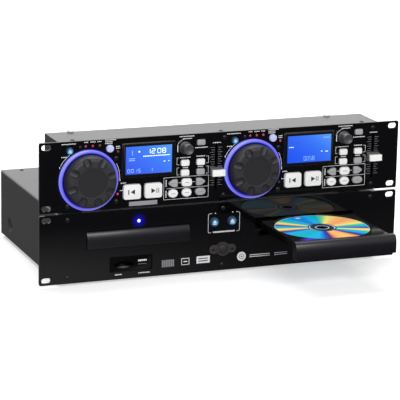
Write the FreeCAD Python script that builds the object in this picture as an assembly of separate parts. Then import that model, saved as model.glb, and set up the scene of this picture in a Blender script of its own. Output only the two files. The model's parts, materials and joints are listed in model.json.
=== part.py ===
import FreeCAD, Part
import math
import os

# Dual disc player for a rack: a two-tray drive unit with its two-deck controller
# standing on it. Millimetres. X runs to the right, +Y into the unit, +Z up.
# While modelling, X = 0 is the middle of the panels, Y = 0 their front faces and
# Z = 0 the surface the unit stands on. The solids are then moved along Y so that
# the origin lies under the middle of the whole unit.

Vector = FreeCAD.Vector
Y_AXIS = Vector(0, 1, 0)
Z_AXIS = Vector(0, 0, 1)

# Rack panels, two units high, both alike
PANEL_WIDTH = 482.6
PANEL_HEIGHT = 88.1
PANEL_THICKNESS = 3.0
PANEL_CORNER = 2.0
RACK_SLOT_INSET_X = 8.75
RACK_SLOT_INSET_Z = 5.95
RACK_SLOT_LENGTH = 12.0
RACK_SLOT_WIDTH = 7.0

# Casings of folded sheet
SHEET = 1.2
BEND_RADIUS = 2.0
CASE_RAISE = 1.75
DRIVE_CASE_INSET = 25.0
DRIVE_CASE_DEPTH = 253.9
DRIVE_CASE_DROP = 2.3
CONTROL_CASE_INSET = 25.9
CONTROL_CASE_DEPTH = 61.8
CONTROL_CASE_DROP = 3.3
CASE_LIP = 3.4

# Rubber feet
FOOT_HEIGHT = 5.2
FOOT_RADIUS = 8.0
FOOT_TAPER = 1.2
FOOT_INSET_X = 26.0
DRIVE_FOOT_INSET_Y = 24.0
CONTROL_FOOT_INSET_Y = 14.0

# Pressed dishes for the screws in the sides of the drive cover
DISH_RADIUS = 10.0
DISH_FLOOR_RADIUS = 5.5
DISH_DEPTH = 2.4
DISH_INSET_Y = 41.0
DISH_INSET_Z = 20.5

# Round pieces that repeat are drawn with this many sides, to keep the model light
RING_SIDES = 40
JOG_SIDES = 48
WELL_SIDES = 60
DISH_SIDES = 24
FINE_SIDES = 18
COARSE_SIDES = 12

# Running clearances
SLIDE_GAP = 0.3
BUTTON_GAP = 0.35
SHAFT_GAP = 0.05

# How far the keys go in
KEY_TRAVEL = 1.0
POWER_TRAVEL = 2.5

# Compact disc
DISC_RADIUS = 60.0
DISC_HOLE_RADIUS = 7.5
DISC_THICKNESS = 1.2

# Disc trays; heights are above the lower edge of the drive panel
TRAY_SPACING = 225.1
TRAY_TRAVEL = 126.0
TRAY_WIDTH = 129.0
TRAY_LENGTH = 175.0
TRAY_REAR_CORNER = 10.0
WELL_GAP = 1.3
WELL_DEPTH = 3.1
WELL_FLOOR = 2.0
SLOT_WIDTH = 36.0
SLOT_REACH = 69.0
RUNNER_INSET = 5.0
RUNNER_WIDTH = 3.0
RUNNER_DEPTH = 7.2
FASCIA_WIDTH = 135.2
FASCIA_HEIGHT = 22.6
FASCIA_THICKNESS = 11.0
FASCIA_TOP_RADIUS = 5.0
FASCIA_EDGE = 1.2
FASCIA_PROUD = 2.0
FASCIA_BOTTOM = 41.6
MOUTH_GAP = 0.7
RIM_DROP = 1.9
DISC_SETBACK = 74.0

# Rack on the tray and the pinion that drives it
TOOTH_MODULE = 1.8
PINION_TEETH = 14
PRESSURE_ANGLE = math.radians(20)
ADDENDUM = 0.8 * TOOTH_MODULE
DEDENDUM = 1.25 * TOOTH_MODULE
BACKLASH = 0.24
PINION_Y = 32.0
PINION_THICKNESS = 5.6
PINION_AXLE_RADIUS = 2.5
PINION_BOSS_RADIUS = 5.0

# Loader frames that carry the trays, turntables and pinions
FRAME_WALL = 2.5
FRAME_FLOOR = 2.4
FRAME_SIDE_GAP = 0.4
FRAME_FRONT = 12.5
FRAME_REAR_GAP = 4.0
FRAME_DROP = 3.6
SHELF_WIDTH = 4.3
SHELF_THICKNESS = 2.0
HOLD_DOWN_WIDTH = 2.9
HOLD_DOWN_LENGTH = 12.0
POST_SIZE = 8.0
POST_INSET = 9.0
BRIDGE_THICKNESS = 2.0
BRIDGE_LENGTH = 34.0
CLAMP_CAP_RADIUS = 16.0
CLAMP_CAP_HEIGHT = 4.0
CLAMP_PAD_RADIUS = 13.0

# Turntables and their motors
MOTOR_RADIUS = 12.0
MOTOR_HEIGHT = 5.2
SPINDLE_RADIUS = 1.5
SPINDLE_LENGTH = 4.0
PLATTER_RADIUS = 15.0
PLATTER_THICKNESS = 2.0
HUB_RADIUS = 7.3
HUB_HEIGHT = 2.4

# Controls on the drive panel; heights are above its lower edge
OPEN_KEY_SPACING = 24.0
OPEN_KEY_Z = 64.0
OPEN_KEY_RADIUS = 6.2
OPEN_KEY_PROUD = 2.5 * KEY_TRAVEL
POWER_Z = 28.2
POWER_KEY_RADIUS = 6.2
POWER_KEY_PROUD = 2.2 * POWER_TRAVEL
POWER_KEY_BEVEL = 1.2
BEZEL_WALL = 1.5
BEZEL_RING_RADIUS = 9.3
BEZEL_RING_PROUD = 3.6
BEZEL_DRAFT = 0.8
BEZEL_WING_LENGTH = 36.0
BEZEL_WING_HEIGHT = 11.0
BEZEL_WING_PROUD = 1.4

# Card and key slots, moulded as one insert in the drive panel
MEDIA_X = -122.2
MEDIA_Z = 19.3
MEDIA_WIDTH = 56.5
MEDIA_HEIGHT = 19.6
MEDIA_RECESS = 1.0
MEDIA_DEPTH = 20.0
CARD_SLOT_WIDTH = 26.0
CARD_SLOT_HEIGHT = 2.6
CARD_SLOT_DEPTH = 16.0
CARD_OFFSET_X = -9.0
CARD_OFFSET_Z = -2.0
SCOOP_WIDTH = 30.0
SCOOP_HEIGHT = 11.5
SCOOP_DEPTH = 2.2
USB_WIDTH = 12.5
USB_HEIGHT = 5.2
USB_DEPTH = 14.0
USB_TONGUE_WIDTH = 11.0
USB_TONGUE_HEIGHT = 1.9
USB_OFFSET_X = 15.6
USB_OFFSET_Z = 1.3

# Decks on the controller panel; heights are above its lower edge, and
# distances across are from the axis of the deck's jog wheel
DECK_MARGIN = 24.8
RING_MARGIN = 24.7
JOG_Z = 0.4381 * PANEL_HEIGHT
JOG_RADIUS = 0.37 * PANEL_HEIGHT
JOG_HEIGHT = 18.0
JOG_LIFT = 0.3
JOG_BEVEL_RADIAL = 2.6
JOG_BEVEL_AXIAL = 4.0
JOG_DISH_RADIUS = 0.5706 * JOG_RADIUS
JOG_DISH_DEPTH = 0.9
JOG_SHAFT_RADIUS = 5.0
JOG_SHAFT_LENGTH = 9.0
DIMPLE_COUNT = 8
DIMPLE_RADIUS = 0.19 * JOG_RADIUS
DIMPLE_START = 0.635 * JOG_RADIUS
DIMPLE_SLOPE = math.radians(19)
DIMPLE_PHASES = (16.0, 27.0)
RING_GAP = 0.8
RING_WIDTH = 4.4
RING_PROUD = 4.0
RING_OUTER = JOG_RADIUS + RING_GAP + RING_WIDTH

# The space between one deck's ring and the next, which its other controls share
DECK_PITCH = PANEL_WIDTH / 2 - DECK_MARGIN
DECK_SPAN = DECK_PITCH - 2 * RING_OUTER
FIRST_JOG_INSET = RING_OUTER + RING_MARGIN

DISPLAY_X = RING_OUTER + 0.2853 * DECK_SPAN
DISPLAY_Z = 0.6754 * PANEL_HEIGHT
DISPLAY_WIDTH = 0.5039 * DECK_SPAN
DISPLAY_HEIGHT = 0.5108 * PANEL_HEIGHT
DISPLAY_PROUD = 1.8
DISPLAY_BEVEL = 1.1
DISPLAY_CORNER = 2.0
WINDOW_FRAME_X = 5.25
WINDOW_FRAME_Z = 5.0
WINDOW_DEPTH = 0.8
WINDOW_WIDTH = DISPLAY_WIDTH - 2 * WINDOW_FRAME_X
WINDOW_HEIGHT = DISPLAY_HEIGHT - 2 * WINDOW_FRAME_Z

SEARCH_X = RING_OUTER + 0.626 * DECK_SPAN
SEARCH_Z = 0.8093 * PANEL_HEIGHT
SEARCH_RADIUS = 6.6
SEARCH_SKIRT_RADIUS = 8.0
SEARCH_SKIRT_HEIGHT = 2.2
SEARCH_HEIGHT = 14.0
SEARCH_SHAFT_RADIUS = 3.0
SEARCH_SHAFT_REACH = 2.0
KNOB_LIFT = 0.3

FADER_X = RING_OUTER + 0.9205 * DECK_SPAN
FADER_Z = 0.5108 * PANEL_HEIGHT
FADER_TRAVEL = 0.5675 * PANEL_HEIGHT
FADER_REST = (-0.132 * FADER_TRAVEL, -0.028 * FADER_TRAVEL)
FADER_KNOB_WIDTH = 0.1171 * DECK_SPAN
FADER_KNOB_HEIGHT = 8.0
FADER_KNOB_PROUD = 12.0
FADER_SKIRT_HEIGHT = 11.5
FADER_SKIRT_PROUD = 7.0
FADER_STEM_WIDTH = 1.6
FADER_STEM_HEIGHT = 6.0
FADER_STEM_LENGTH = 5.0
FADER_SLOT_WIDTH = 2.4
FADER_END_GAP = 1.0

# Keys of one deck
KEY_DRAFT = 0.3
FLANGE_MARGIN = 0.6
FLANGE_THICKNESS = 0.8
FLANGE_GAP = 0.15
ROUND_KEY_PROUD = 2.5 * KEY_TRAVEL
SMALL_KEY_PROUD = 2 * KEY_TRAVEL
LARGE_KEY_PROUD = 3 * KEY_TRAVEL
EJECT_KEY_RADIUS = 4.5
SOURCE_KEY_RADIUS = 4.8


def key_size(across, up, roundness):
    """Width, height and corner of a key that takes its share of a deck."""
    height = up * PANEL_HEIGHT
    return (across * DECK_SPAN, height, roundness * height)


def column(share):
    """How far right of the jog wheel's middle a control is, by its share of the space."""
    return RING_OUTER + share * DECK_SPAN


LARGE_KEY_SIZE = key_size(0.1632, 0.2179, 0.156)
PAD_SIZE = key_size(0.0795, 0.0931, 0.171)
MENU_PAD_SIZE = key_size(0.0781, 0.0829, 0.164)
SQUARE_KEY_SIZE = key_size(0.0994, 0.1169, 0.34)
OVAL_KEY_SIZE = key_size(0.0951, 0.1203, 0.49)
PILL_KEY_SIZE = key_size(0.1022, 0.1044, 0.489)
ARROW_KEY_SIZE = key_size(0.0852, 0.1112, 0.2245)
TOP_KEY_ROW = 0.8683 * PANEL_HEIGHT
EJECT_PLACE = (-0.6429 * RING_OUTER, TOP_KEY_ROW)
SOURCE_PLACE = (0.7302 * RING_OUTER, TOP_KEY_ROW)
MENU_PLACE = (column(0.775), 0.8729 * PANEL_HEIGHT)
LARGE_KEY_COLUMNS = (column(0.132), column(0.33))
LARGE_KEY_ROW = 0.2282 * PANEL_HEIGHT
PAD_COLUMNS = (column(0.6274), column(0.7743))
PAD_ROWS = (0.5902 * PANEL_HEIGHT, 0.4484 * PANEL_HEIGHT)
LOOP_KEY_COLUMNS = (column(0.5167), column(0.6451), column(0.7757))
LOOP_KEY_ROWS = (0.3065 * PANEL_HEIGHT, 0.16 * PANEL_HEIGHT)

# Sockets on the rear walls
LINE_SOCKET_SPACING = 16.0
LINE_SOCKET_X = -120.0
LINE_SOCKET_RADIUS = 4.2
LINE_SOCKET_LENGTH = 8.0
LINE_PLATE_MARGIN = 7.0
LINE_PLATE = 1.2
LINK_WIDTH = 25.0
LINK_HEIGHT = 8.4
LINK_TAPER = 1.5
LINK_FLANGE_WIDTH = 39.0
LINK_FLANGE_HEIGHT = 12.5
LINK_FLANGE = 1.0
LINK_PROUD = 5.5
DRIVE_LINK_X = 30.0
CONTROL_LINK_X = 150.0
SOCKET_Z = 45.0
INLET_X = 170.0
INLET_WIDTH = 27.0
INLET_HEIGHT = 20.0
INLET_FLANGE = 2.0
INLET_FLANGE_MARGIN = 3.0
INLET_DEPTH = 17.0
INLET_WALL = 1.5
INLET_PIN_LENGTH = 12.0
INLET_PIN_WIDTH = 2.0
INLET_PIN_HEIGHT = 4.0
INLET_PIN_SPACING = 7.0
INLET_PIN_RISE = 2.0

# Levels and places that follow from the sizes above
RACK_SPACING_X = PANEL_WIDTH - 2 * RACK_SLOT_INSET_X
RACK_SPACING_Z = PANEL_HEIGHT - 2 * RACK_SLOT_INSET_Z
DRIVE_CASE_WIDTH = PANEL_WIDTH - 2 * DRIVE_CASE_INSET
DRIVE_CASE_HEIGHT = PANEL_HEIGHT - DRIVE_CASE_DROP
CONTROL_CASE_WIDTH = PANEL_WIDTH - 2 * CONTROL_CASE_INSET
CONTROL_CASE_HEIGHT = PANEL_HEIGHT - CONTROL_CASE_DROP
DRIVE_Z = FOOT_HEIGHT - CASE_RAISE
DRIVE_TOP_Z = FOOT_HEIGHT + DRIVE_CASE_HEIGHT
CONTROL_CASE_Z = DRIVE_TOP_Z + FOOT_HEIGHT
CONTROL_Z = CONTROL_CASE_Z - CASE_RAISE
CONTROL_TOP_Z = CONTROL_CASE_Z + CONTROL_CASE_HEIGHT
TRAY_XS = (-TRAY_SPACING / 2, TRAY_SPACING / 2)
JOG_XS = (FIRST_JOG_INSET - PANEL_WIDTH / 2, FIRST_JOG_INSET - PANEL_WIDTH / 2 + DECK_PITCH)
TRAY_SHIFTS = (0.0, -TRAY_TRAVEL)
SIDES = ("left", "right")

FASCIA_Z = DRIVE_Z + FASCIA_BOTTOM
FASCIA_TOP_Z = FASCIA_Z + FASCIA_HEIGHT
RIM_Z = FASCIA_TOP_Z - RIM_DROP
WELL_Z = RIM_Z - WELL_DEPTH
DECK_UNDER_Z = WELL_Z - WELL_FLOOR
RUNNER_UNDER_Z = DECK_UNDER_Z - RUNNER_DEPTH
TRAY_FRONT = FASCIA_THICKNESS - FASCIA_PROUD
SPINDLE_Y = DISC_SETBACK - FASCIA_PROUD

BEZEL_SLEEVE_RADIUS = POWER_KEY_RADIUS + BUTTON_GAP + BEZEL_WALL
PITCH_RADIUS = TOOTH_MODULE * PINION_TEETH / 2
TOOTH_PITCH = math.pi * TOOTH_MODULE
RUNNER_INNER = TRAY_WIDTH / 2 - RUNNER_INSET - RUNNER_WIDTH
PINION_OFFSET = -(RUNNER_INNER - DEDENDUM - PITCH_RADIUS)

FRAME_INNER = TRAY_WIDTH / 2 + FRAME_SIDE_GAP
FRAME_OUTER = FRAME_INNER + FRAME_WALL
FRAME_REAR = TRAY_FRONT + TRAY_LENGTH + FRAME_REAR_GAP
FRAME_TOP_Z = RIM_Z + SLIDE_GAP + BRIDGE_THICKNESS
FRAME_FLOOR_Z = RUNNER_UNDER_Z - FRAME_DROP
FRAME_UNDER_Z = FRAME_FLOOR_Z - FRAME_FLOOR
MOTOR_TOP_Z = FRAME_FLOOR_Z + MOTOR_HEIGHT
PLATTER_Z = MOTOR_TOP_Z + SLIDE_GAP
PINION_Z = RUNNER_UNDER_Z + SLIDE_GAP

FRONT_Y = -FASCIA_PROUD - TRAY_TRAVEL
REAR_Y = DRIVE_CASE_DEPTH + LINE_PLATE + LINE_SOCKET_LENGTH
CENTRE_SHIFT = Vector(0, -(FRONT_Y + REAR_Y) / 2, 0)


# ---------------------------------------------------------------- basic forms

def block(x0, x1, y0, y1, z0, z1):
    """A box between two opposite corners."""
    return Part.makeBox(x1 - x0, y1 - y0, z1 - z0, Vector(x0, y0, z0))


def bar_y(x, z, width, height, y0, y1):
    """A square-cornered bar along Y, centred on (x, z)."""
    return block(x - width / 2, x + width / 2, y0, y1, z - height / 2, z + height / 2)


def rod_z(radius, x, y, z0, z1):
    """A cylinder along Z."""
    return Part.makeCylinder(radius, z1 - z0, Vector(x, y, z0), Z_AXIS)


def round_outline(x, z, radius, sides, y):
    """Corners of a regular outline about (x, z) in the plane at y."""
    points = []
    for number in range(sides):
        angle = (number + 0.5) * 2 * math.pi / sides
        points.append(Vector(x + radius * math.cos(angle), y, z + radius * math.sin(angle)))
    return points


def rounded_outline(x, z, width, height, corner, steps, y):
    """Corners of a rectangle about (x, z) whose corners are rounded in a few steps."""
    across = width / 2 - corner
    up = height / 2 - corner
    points = []
    for quarter, (side, rise) in enumerate(((1, 1), (-1, 1), (-1, -1), (1, -1))):
        for step in range(steps + 1):
            angle = math.radians(90 * quarter + 90 * step / steps)
            px = x + side * across + corner * math.cos(angle)
            pz = z + rise * up + corner * math.sin(angle)
            points.append(Vector(px, y, pz))
    return points


def arrow_outline(x, z, width, height, corner, direction, y):
    """Corners of a key that is square at one end and pointed at the other."""
    tail = x - direction * width / 2
    tip = x + direction * width / 2
    outline = (
        (tail, z - height / 2 + corner / 2),
        (tail + direction * corner / 2, z - height / 2),
        (x, z - height / 2),
        (x + direction * corner, z - height / 2 + corner / 2),
        (tip, z - corner / 2),
        (tip, z + corner / 2),
        (x + direction * corner, z + height / 2 - corner / 2),
        (x, z + height / 2),
        (tail + direction * corner / 2, z + height / 2),
        (tail, z + height / 2 - corner / 2),
    )
    return [Vector(px, y, pz) for px, pz in outline]


def slot_along_x(x, z, length, width, y0, y1):
    """A round-ended slot tool along X."""
    reach = (length - width) / 2
    half = width / 2
    upper_right = Vector(x + reach, y0, z + half)
    lower_right = Vector(x + reach, y0, z - half)
    upper_left = Vector(x - reach, y0, z + half)
    lower_left = Vector(x - reach, y0, z - half)
    right = Part.Arc(lower_right, Vector(x + reach + half, y0, z), upper_right)
    left = Part.Arc(upper_left, Vector(x - reach - half, y0, z), lower_left)
    top = Part.makeLine(upper_right, upper_left)
    bottom = Part.makeLine(lower_left, lower_right)
    wire = Part.Wire([right.toShape(), top, left.toShape(), bottom])
    return Part.Face(wire).extrude(Vector(0, y1 - y0, 0))


def tapered(first, second):
    """A body with flat sides between two outlines that have the same number of corners."""
    faces = []
    for outline in (first, second):
        faces.append(Part.Face(Part.makePolygon(outline + [outline[0]])))
    for number in range(len(first)):
        following = (number + 1) % len(first)
        corners = [first[number], first[following], second[following], second[number], first[number]]
        faces.append(Part.Face(Part.makePolygon(corners)))
    solid = Part.Solid(Part.Shell(faces))
    if solid.Volume < 0:
        solid.reverse()
    return solid


def faceted_rod_z(lower_radius, upper_radius, sides, x, y, z0, z1):
    """An upright rod or cone drawn with few sides."""
    outlines = []
    for radius, z in ((lower_radius, z0), (upper_radius, z1)):
        flat = round_outline(x, y, radius, sides, 0)
        outlines.append([Vector(point.x, point.z, z) for point in flat])
    return tapered(outlines[0], outlines[1])


def faceted_rod_y(radius, sides, x, z, y0, y1):
    """A rod along Y drawn with few sides."""
    return extruded(round_outline(x, z, radius, sides, y0), Vector(0, y1 - y0, 0))


def extruded(points, direction):
    """A flat outline through the points, drawn out along a direction."""
    wire = Part.makePolygon(list(points) + [points[0]])
    return Part.Face(wire).extrude(direction)


def join(shapes):
    """One solid made of several that touch."""
    return shapes[0].multiFuse(shapes[1:]).removeSplitter()


def cut(shape, tools):
    """A shape with several others taken away."""
    return shape.cut(Part.makeCompound(tools))


# ---------------------------------------------------------------- where things lie

def key_plan():
    """Every key of one deck: name, outline kind, place, size and how far it stands out."""
    plan = [
        ("eject_key", "round", EJECT_PLACE, EJECT_KEY_RADIUS, ROUND_KEY_PROUD),
        ("source_key", "round", SOURCE_PLACE, SOURCE_KEY_RADIUS, ROUND_KEY_PROUD),
        ("menu_pad", "pad", MENU_PLACE, MENU_PAD_SIZE, SMALL_KEY_PROUD),
        ("cue_key", "square", (LARGE_KEY_COLUMNS[0], LARGE_KEY_ROW), LARGE_KEY_SIZE, LARGE_KEY_PROUD),
        ("play_key", "square", (LARGE_KEY_COLUMNS[1], LARGE_KEY_ROW), LARGE_KEY_SIZE, LARGE_KEY_PROUD),
    ]
    number = 1
    for row in PAD_ROWS:
        for column in PAD_COLUMNS:
            name = "mode_pad_" + str(number)
            plan.append((name, "pad", (column, row), PAD_SIZE, SMALL_KEY_PROUD))
            number = number + 1
    kinds = (
        ("loop_key_1", "arrow_left", ARROW_KEY_SIZE),
        ("loop_key_2", "square", SQUARE_KEY_SIZE),
        ("loop_key_3", "arrow_right", ARROW_KEY_SIZE),
        ("loop_key_4", "square", OVAL_KEY_SIZE),
        ("loop_key_5", "square", OVAL_KEY_SIZE),
        ("loop_key_6", "square", PILL_KEY_SIZE),
    )
    for number, (name, kind, size) in enumerate(kinds):
        column = LOOP_KEY_COLUMNS[number % 3]
        row = LOOP_KEY_ROWS[number // 3]
        plan.append((name, kind, (column, row), size, SMALL_KEY_PROUD))
    return plan


# ---------------------------------------------------------------- keys

def key_outline(kind, x, z, size, margin, y):
    """The outline of a key, grown by a margin all round."""
    if kind == "round":
        return round_outline(x, z, size + margin, FINE_SIDES, y)
    width = size[0] + 2 * margin
    height = size[1] + 2 * margin
    corner = max(size[2] + margin, 0.4)
    if kind == "arrow_left":
        return arrow_outline(x, z, width, height, corner, -1, y)
    if kind == "arrow_right":
        return arrow_outline(x, z, width, height, corner, 1, y)
    steps = 1 if kind == "pad" else 2
    return rounded_outline(x, z, width, height, corner, steps, y)


def key_hole(kind, x, z, size):
    """What a panel loses where a key passes through it."""
    outline = key_outline(kind, x, z, size, BUTTON_GAP, -PANEL_THICKNESS)
    return extruded(outline, Vector(0, PANEL_THICKNESS * 3, 0))


def key(kind, x, z, size, proud):
    """A moulded key: a drafted cap in front of a flange that stops it behind the panel."""
    flange_y = PANEL_THICKNESS + FLANGE_GAP
    back = key_outline(kind, x, z, size, 0, flange_y)
    front = key_outline(kind, x, z, size, -KEY_DRAFT, -proud)
    margin = BUTTON_GAP + FLANGE_MARGIN
    if kind == "round":
        width = 2 * (size + margin)
        height = width
    else:
        width = size[0] + 2 * margin
        height = size[1] + 2 * margin
    flange = bar_y(x, z, width, height, flange_y, flange_y + FLANGE_THICKNESS)
    return join([tapered(back, front), flange])


# ---------------------------------------------------------------- drive unit

def panel_blank(panel_z):
    """A bare rack panel with its four slots."""
    middle = panel_z + PANEL_HEIGHT / 2
    outline = rounded_outline(0, middle, PANEL_WIDTH, PANEL_HEIGHT, PANEL_CORNER, 3, 0)
    plate = extruded(outline, Vector(0, PANEL_THICKNESS, 0))
    slots = []
    for column in (-1, 1):
        for row in (-1, 1):
            x = column * RACK_SPACING_X / 2
            z = middle + row * RACK_SPACING_Z / 2
            slots.append(slot_along_x(x, z, RACK_SLOT_LENGTH, RACK_SLOT_WIDTH, -1, PANEL_THICKNESS + 1))
    return cut(plate, slots)


def tray_mouth(tray_x, y0, y1):
    """The opening that a tray passes through."""
    width = FASCIA_WIDTH + 2 * MOUTH_GAP
    height = FASCIA_HEIGHT + 2 * MOUTH_GAP
    middle = FASCIA_Z + FASCIA_HEIGHT / 2
    return bar_y(tray_x, middle, width, height, y0, y1)


def open_key_places():
    """Centres of the two open and close keys."""
    z = DRIVE_Z + OPEN_KEY_Z
    return ((-OPEN_KEY_SPACING / 2, z), (OPEN_KEY_SPACING / 2, z))


def drive_front_panel():
    """Front panel of the drive unit."""
    tools = [tray_mouth(x, -1, PANEL_THICKNESS + 1) for x in TRAY_XS]
    for x, z in open_key_places():
        tools.append(key_hole("round", x, z, OPEN_KEY_RADIUS))
    tools.append(bezel_hole(-1, PANEL_THICKNESS + 1))
    tools.append(bar_y(MEDIA_X, DRIVE_Z + MEDIA_Z, MEDIA_WIDTH, MEDIA_HEIGHT, -1, PANEL_THICKNESS + 1))
    return cut(panel_blank(DRIVE_Z), tools)


def bezel_hole(y0, y1):
    """The hole for the sleeve of the power key's surround."""
    return faceted_rod_y(BEZEL_SLEEVE_RADIUS, FINE_SIDES, 0, DRIVE_Z + POWER_Z, y0, y1)


def drive_chassis():
    """Floor, front flange and rear wall of the drive casing, folded from one sheet."""
    half = DRIVE_CASE_WIDTH / 2 - SHEET
    y0 = PANEL_THICKNESS
    y1 = DRIVE_CASE_DEPTH
    z0 = FOOT_HEIGHT
    z1 = DRIVE_TOP_Z - SHEET
    outline = (
        (y0, z0), (y1, z0), (y1, z1), (y1 - SHEET, z1),
        (y1 - SHEET, z0 + SHEET), (y0 + SHEET, z0 + SHEET), (y0 + SHEET, z1), (y0, z1),
    )
    fold = extruded([Vector(-half, y, z) for y, z in outline], Vector(2 * half, 0, 0))
    tools = [tray_mouth(x, y0 - 1, y0 + 2 * SHEET) for x in TRAY_XS]
    keys_wide = OPEN_KEY_SPACING + 4 * OPEN_KEY_RADIUS
    tools.append(bar_y(0, DRIVE_Z + OPEN_KEY_Z, keys_wide, 4 * OPEN_KEY_RADIUS, y0 - 1, y0 + 2 * SHEET))
    tools.append(bezel_hole(y0 - 1, y0 + 2 * SHEET))
    tools.append(bar_y(MEDIA_X, DRIVE_Z + MEDIA_Z, MEDIA_WIDTH, MEDIA_HEIGHT, y0 - 1, y0 + 2 * SHEET))
    inlet_z = DRIVE_Z + SOCKET_Z
    tools.append(bar_y(INLET_X, inlet_z, INLET_WIDTH, INLET_HEIGHT, y1 - 2 * SHEET, y1 + 1))
    return cut(fold, tools)


def dish(side, radius, floor_radius, depth):
    """A tapered disc pressed into one side of the drive cover, near its lower rear corner."""
    y = DRIVE_CASE_DEPTH - DISH_INSET_Y
    z = FOOT_HEIGHT + DISH_INSET_Z
    outlines = []
    for reach, size in ((0, radius), (depth, floor_radius)):
        x = side * (DRIVE_CASE_WIDTH / 2 - reach)
        flat = round_outline(y, z, size, FINE_SIDES, 0)
        outlines.append([Vector(x, point.x, point.z) for point in flat])
    return tapered(outlines[0], outlines[1])


def drive_top_cover():
    """Top and sides of the drive casing, with a pressed dish for each side screw."""
    half = DRIVE_CASE_WIDTH / 2
    length = DRIVE_CASE_DEPTH - PANEL_THICKNESS
    outer = block(-half, half, PANEL_THICKNESS, DRIVE_CASE_DEPTH, FOOT_HEIGHT, DRIVE_TOP_Z)
    top_edges = [
        edge for edge in outer.Edges
        if abs(edge.Length - length) < 1e-6 and edge.CenterOfMass.z > DRIVE_TOP_Z - 1
    ]
    outer = outer.makeFillet(BEND_RADIUS, top_edges)
    inner = block(-half + SHEET, half - SHEET, 0, DRIVE_CASE_DEPTH + 1, 0, DRIVE_TOP_Z - SHEET)
    cover = outer.cut(inner)
    cups = []
    hollows = []
    for side in (-1, 1):
        cups.append(dish(side, DISH_RADIUS + SHEET, DISH_FLOOR_RADIUS + SHEET, DISH_DEPTH + SHEET))
        hollows.append(dish(side, DISH_RADIUS, DISH_FLOOR_RADIUS, DISH_DEPTH))
    return cut(join([cover] + cups), hollows)


# ---------------------------------------------------------------- trays and loaders

def disc_tray(x, shift):
    """A disc tray: a deck with a round well, two runners below and a rack on one of them."""
    half = TRAY_WIDTH / 2
    y0 = TRAY_FRONT + shift
    y1 = y0 + TRAY_LENGTH
    spindle = SPINDLE_Y + shift
    deck = block(x - half, x + half, y0, y1, DECK_UNDER_Z, RIM_Z)
    rear_edges = [
        edge for edge in deck.Edges
        if abs(edge.Length - (RIM_Z - DECK_UNDER_Z)) < 1e-6 and edge.CenterOfMass.y > y1 - 1
    ]
    deck = deck.makeFillet(TRAY_REAR_CORNER, rear_edges)
    well_radius = DISC_RADIUS + WELL_GAP
    well = faceted_rod_z(well_radius, well_radius, WELL_SIDES, x, spindle, WELL_Z, RIM_Z + 1)
    slot_end = spindle + SLOT_REACH
    slot = block(x - SLOT_WIDTH / 2, x + SLOT_WIDTH / 2, spindle, slot_end, DECK_UNDER_Z - 1, RIM_Z + 1)
    eye = faceted_rod_z(SLOT_WIDTH / 2, SLOT_WIDTH / 2, DISH_SIDES, x, spindle, DECK_UNDER_Z - 1, RIM_Z + 1)
    deck = cut(deck, [well, slot, eye])
    runners = []
    runner_end = y1 - TRAY_REAR_CORNER
    for side in (-1, 1):
        inner = x + side * RUNNER_INNER
        outer = x + side * (RUNNER_INNER + RUNNER_WIDTH)
        low = min(inner, outer)
        high = max(inner, outer)
        runners.append(block(low, high, y0, runner_end, RUNNER_UNDER_Z, DECK_UNDER_Z))
    return join([deck] + runners + [tray_rack(x, shift)])


def tray_rack(x, shift):
    """The rack along the inner face of the left runner."""
    root = x - RUNNER_INNER
    pitch_line = root + DEDENDUM
    tip = pitch_line + ADDENDUM
    slope = math.tan(PRESSURE_ANGLE)
    half = TOOTH_PITCH / 4 - BACKLASH / 2
    half_root = half + DEDENDUM * slope
    half_tip = half - ADDENDUM * slope
    first = -2
    last = int(TRAY_TRAVEL / TOOTH_PITCH) + 2
    start = PINION_Y + shift + (first + 0.5) * TOOTH_PITCH
    points = [Vector(root - RUNNER_WIDTH / 2, start - half_root, RUNNER_UNDER_Z)]
    for number in range(last - first):
        y = start + number * TOOTH_PITCH
        points.append(Vector(root, y - half_root, RUNNER_UNDER_Z))
        points.append(Vector(tip, y - half_tip, RUNNER_UNDER_Z))
        points.append(Vector(tip, y + half_tip, RUNNER_UNDER_Z))
        points.append(Vector(root, y + half_root, RUNNER_UNDER_Z))
    points.append(Vector(root - RUNNER_WIDTH / 2, y + half_root, RUNNER_UNDER_Z))
    return extruded(points, Vector(0, 0, RUNNER_DEPTH))


def tray_fascia(x, shift):
    """The front of a tray: rounded along its top, with softened ends."""
    y0 = -FASCIA_PROUD + shift
    y1 = y0 + FASCIA_THICKNESS
    half = FASCIA_WIDTH / 2
    body = block(x - half, x + half, y0, y1, FASCIA_Z, FASCIA_TOP_Z)
    top = [
        edge for edge in body.Edges
        if edge.CenterOfMass.y < y0 + 0.01 and edge.CenterOfMass.z > FASCIA_TOP_Z - 0.01
    ]
    body = body.makeFillet(FASCIA_TOP_RADIUS, top)
    ends = [
        edge for edge in body.Edges
        if abs(abs(edge.CenterOfMass.x - x) - half) < 0.01 and edge.CenterOfMass.y < y1 - 0.5
        and edge.CenterOfMass.z > FASCIA_Z + 0.5
    ]
    return body.makeChamfer(FASCIA_EDGE, ends)


def disc(x, shift):
    """A compact disc lying in the well of an open tray."""
    y = SPINDLE_Y + shift
    z = WELL_Z + SLIDE_GAP
    plate = rod_z(DISC_RADIUS, x, y, z, z + DISC_THICKNESS)
    return plate.cut(rod_z(DISC_HOLE_RADIUS, x, y, z - 1, z + DISC_THICKNESS + 1))


def involute(angle):
    """The involute function."""
    return math.tan(angle) - angle


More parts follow.
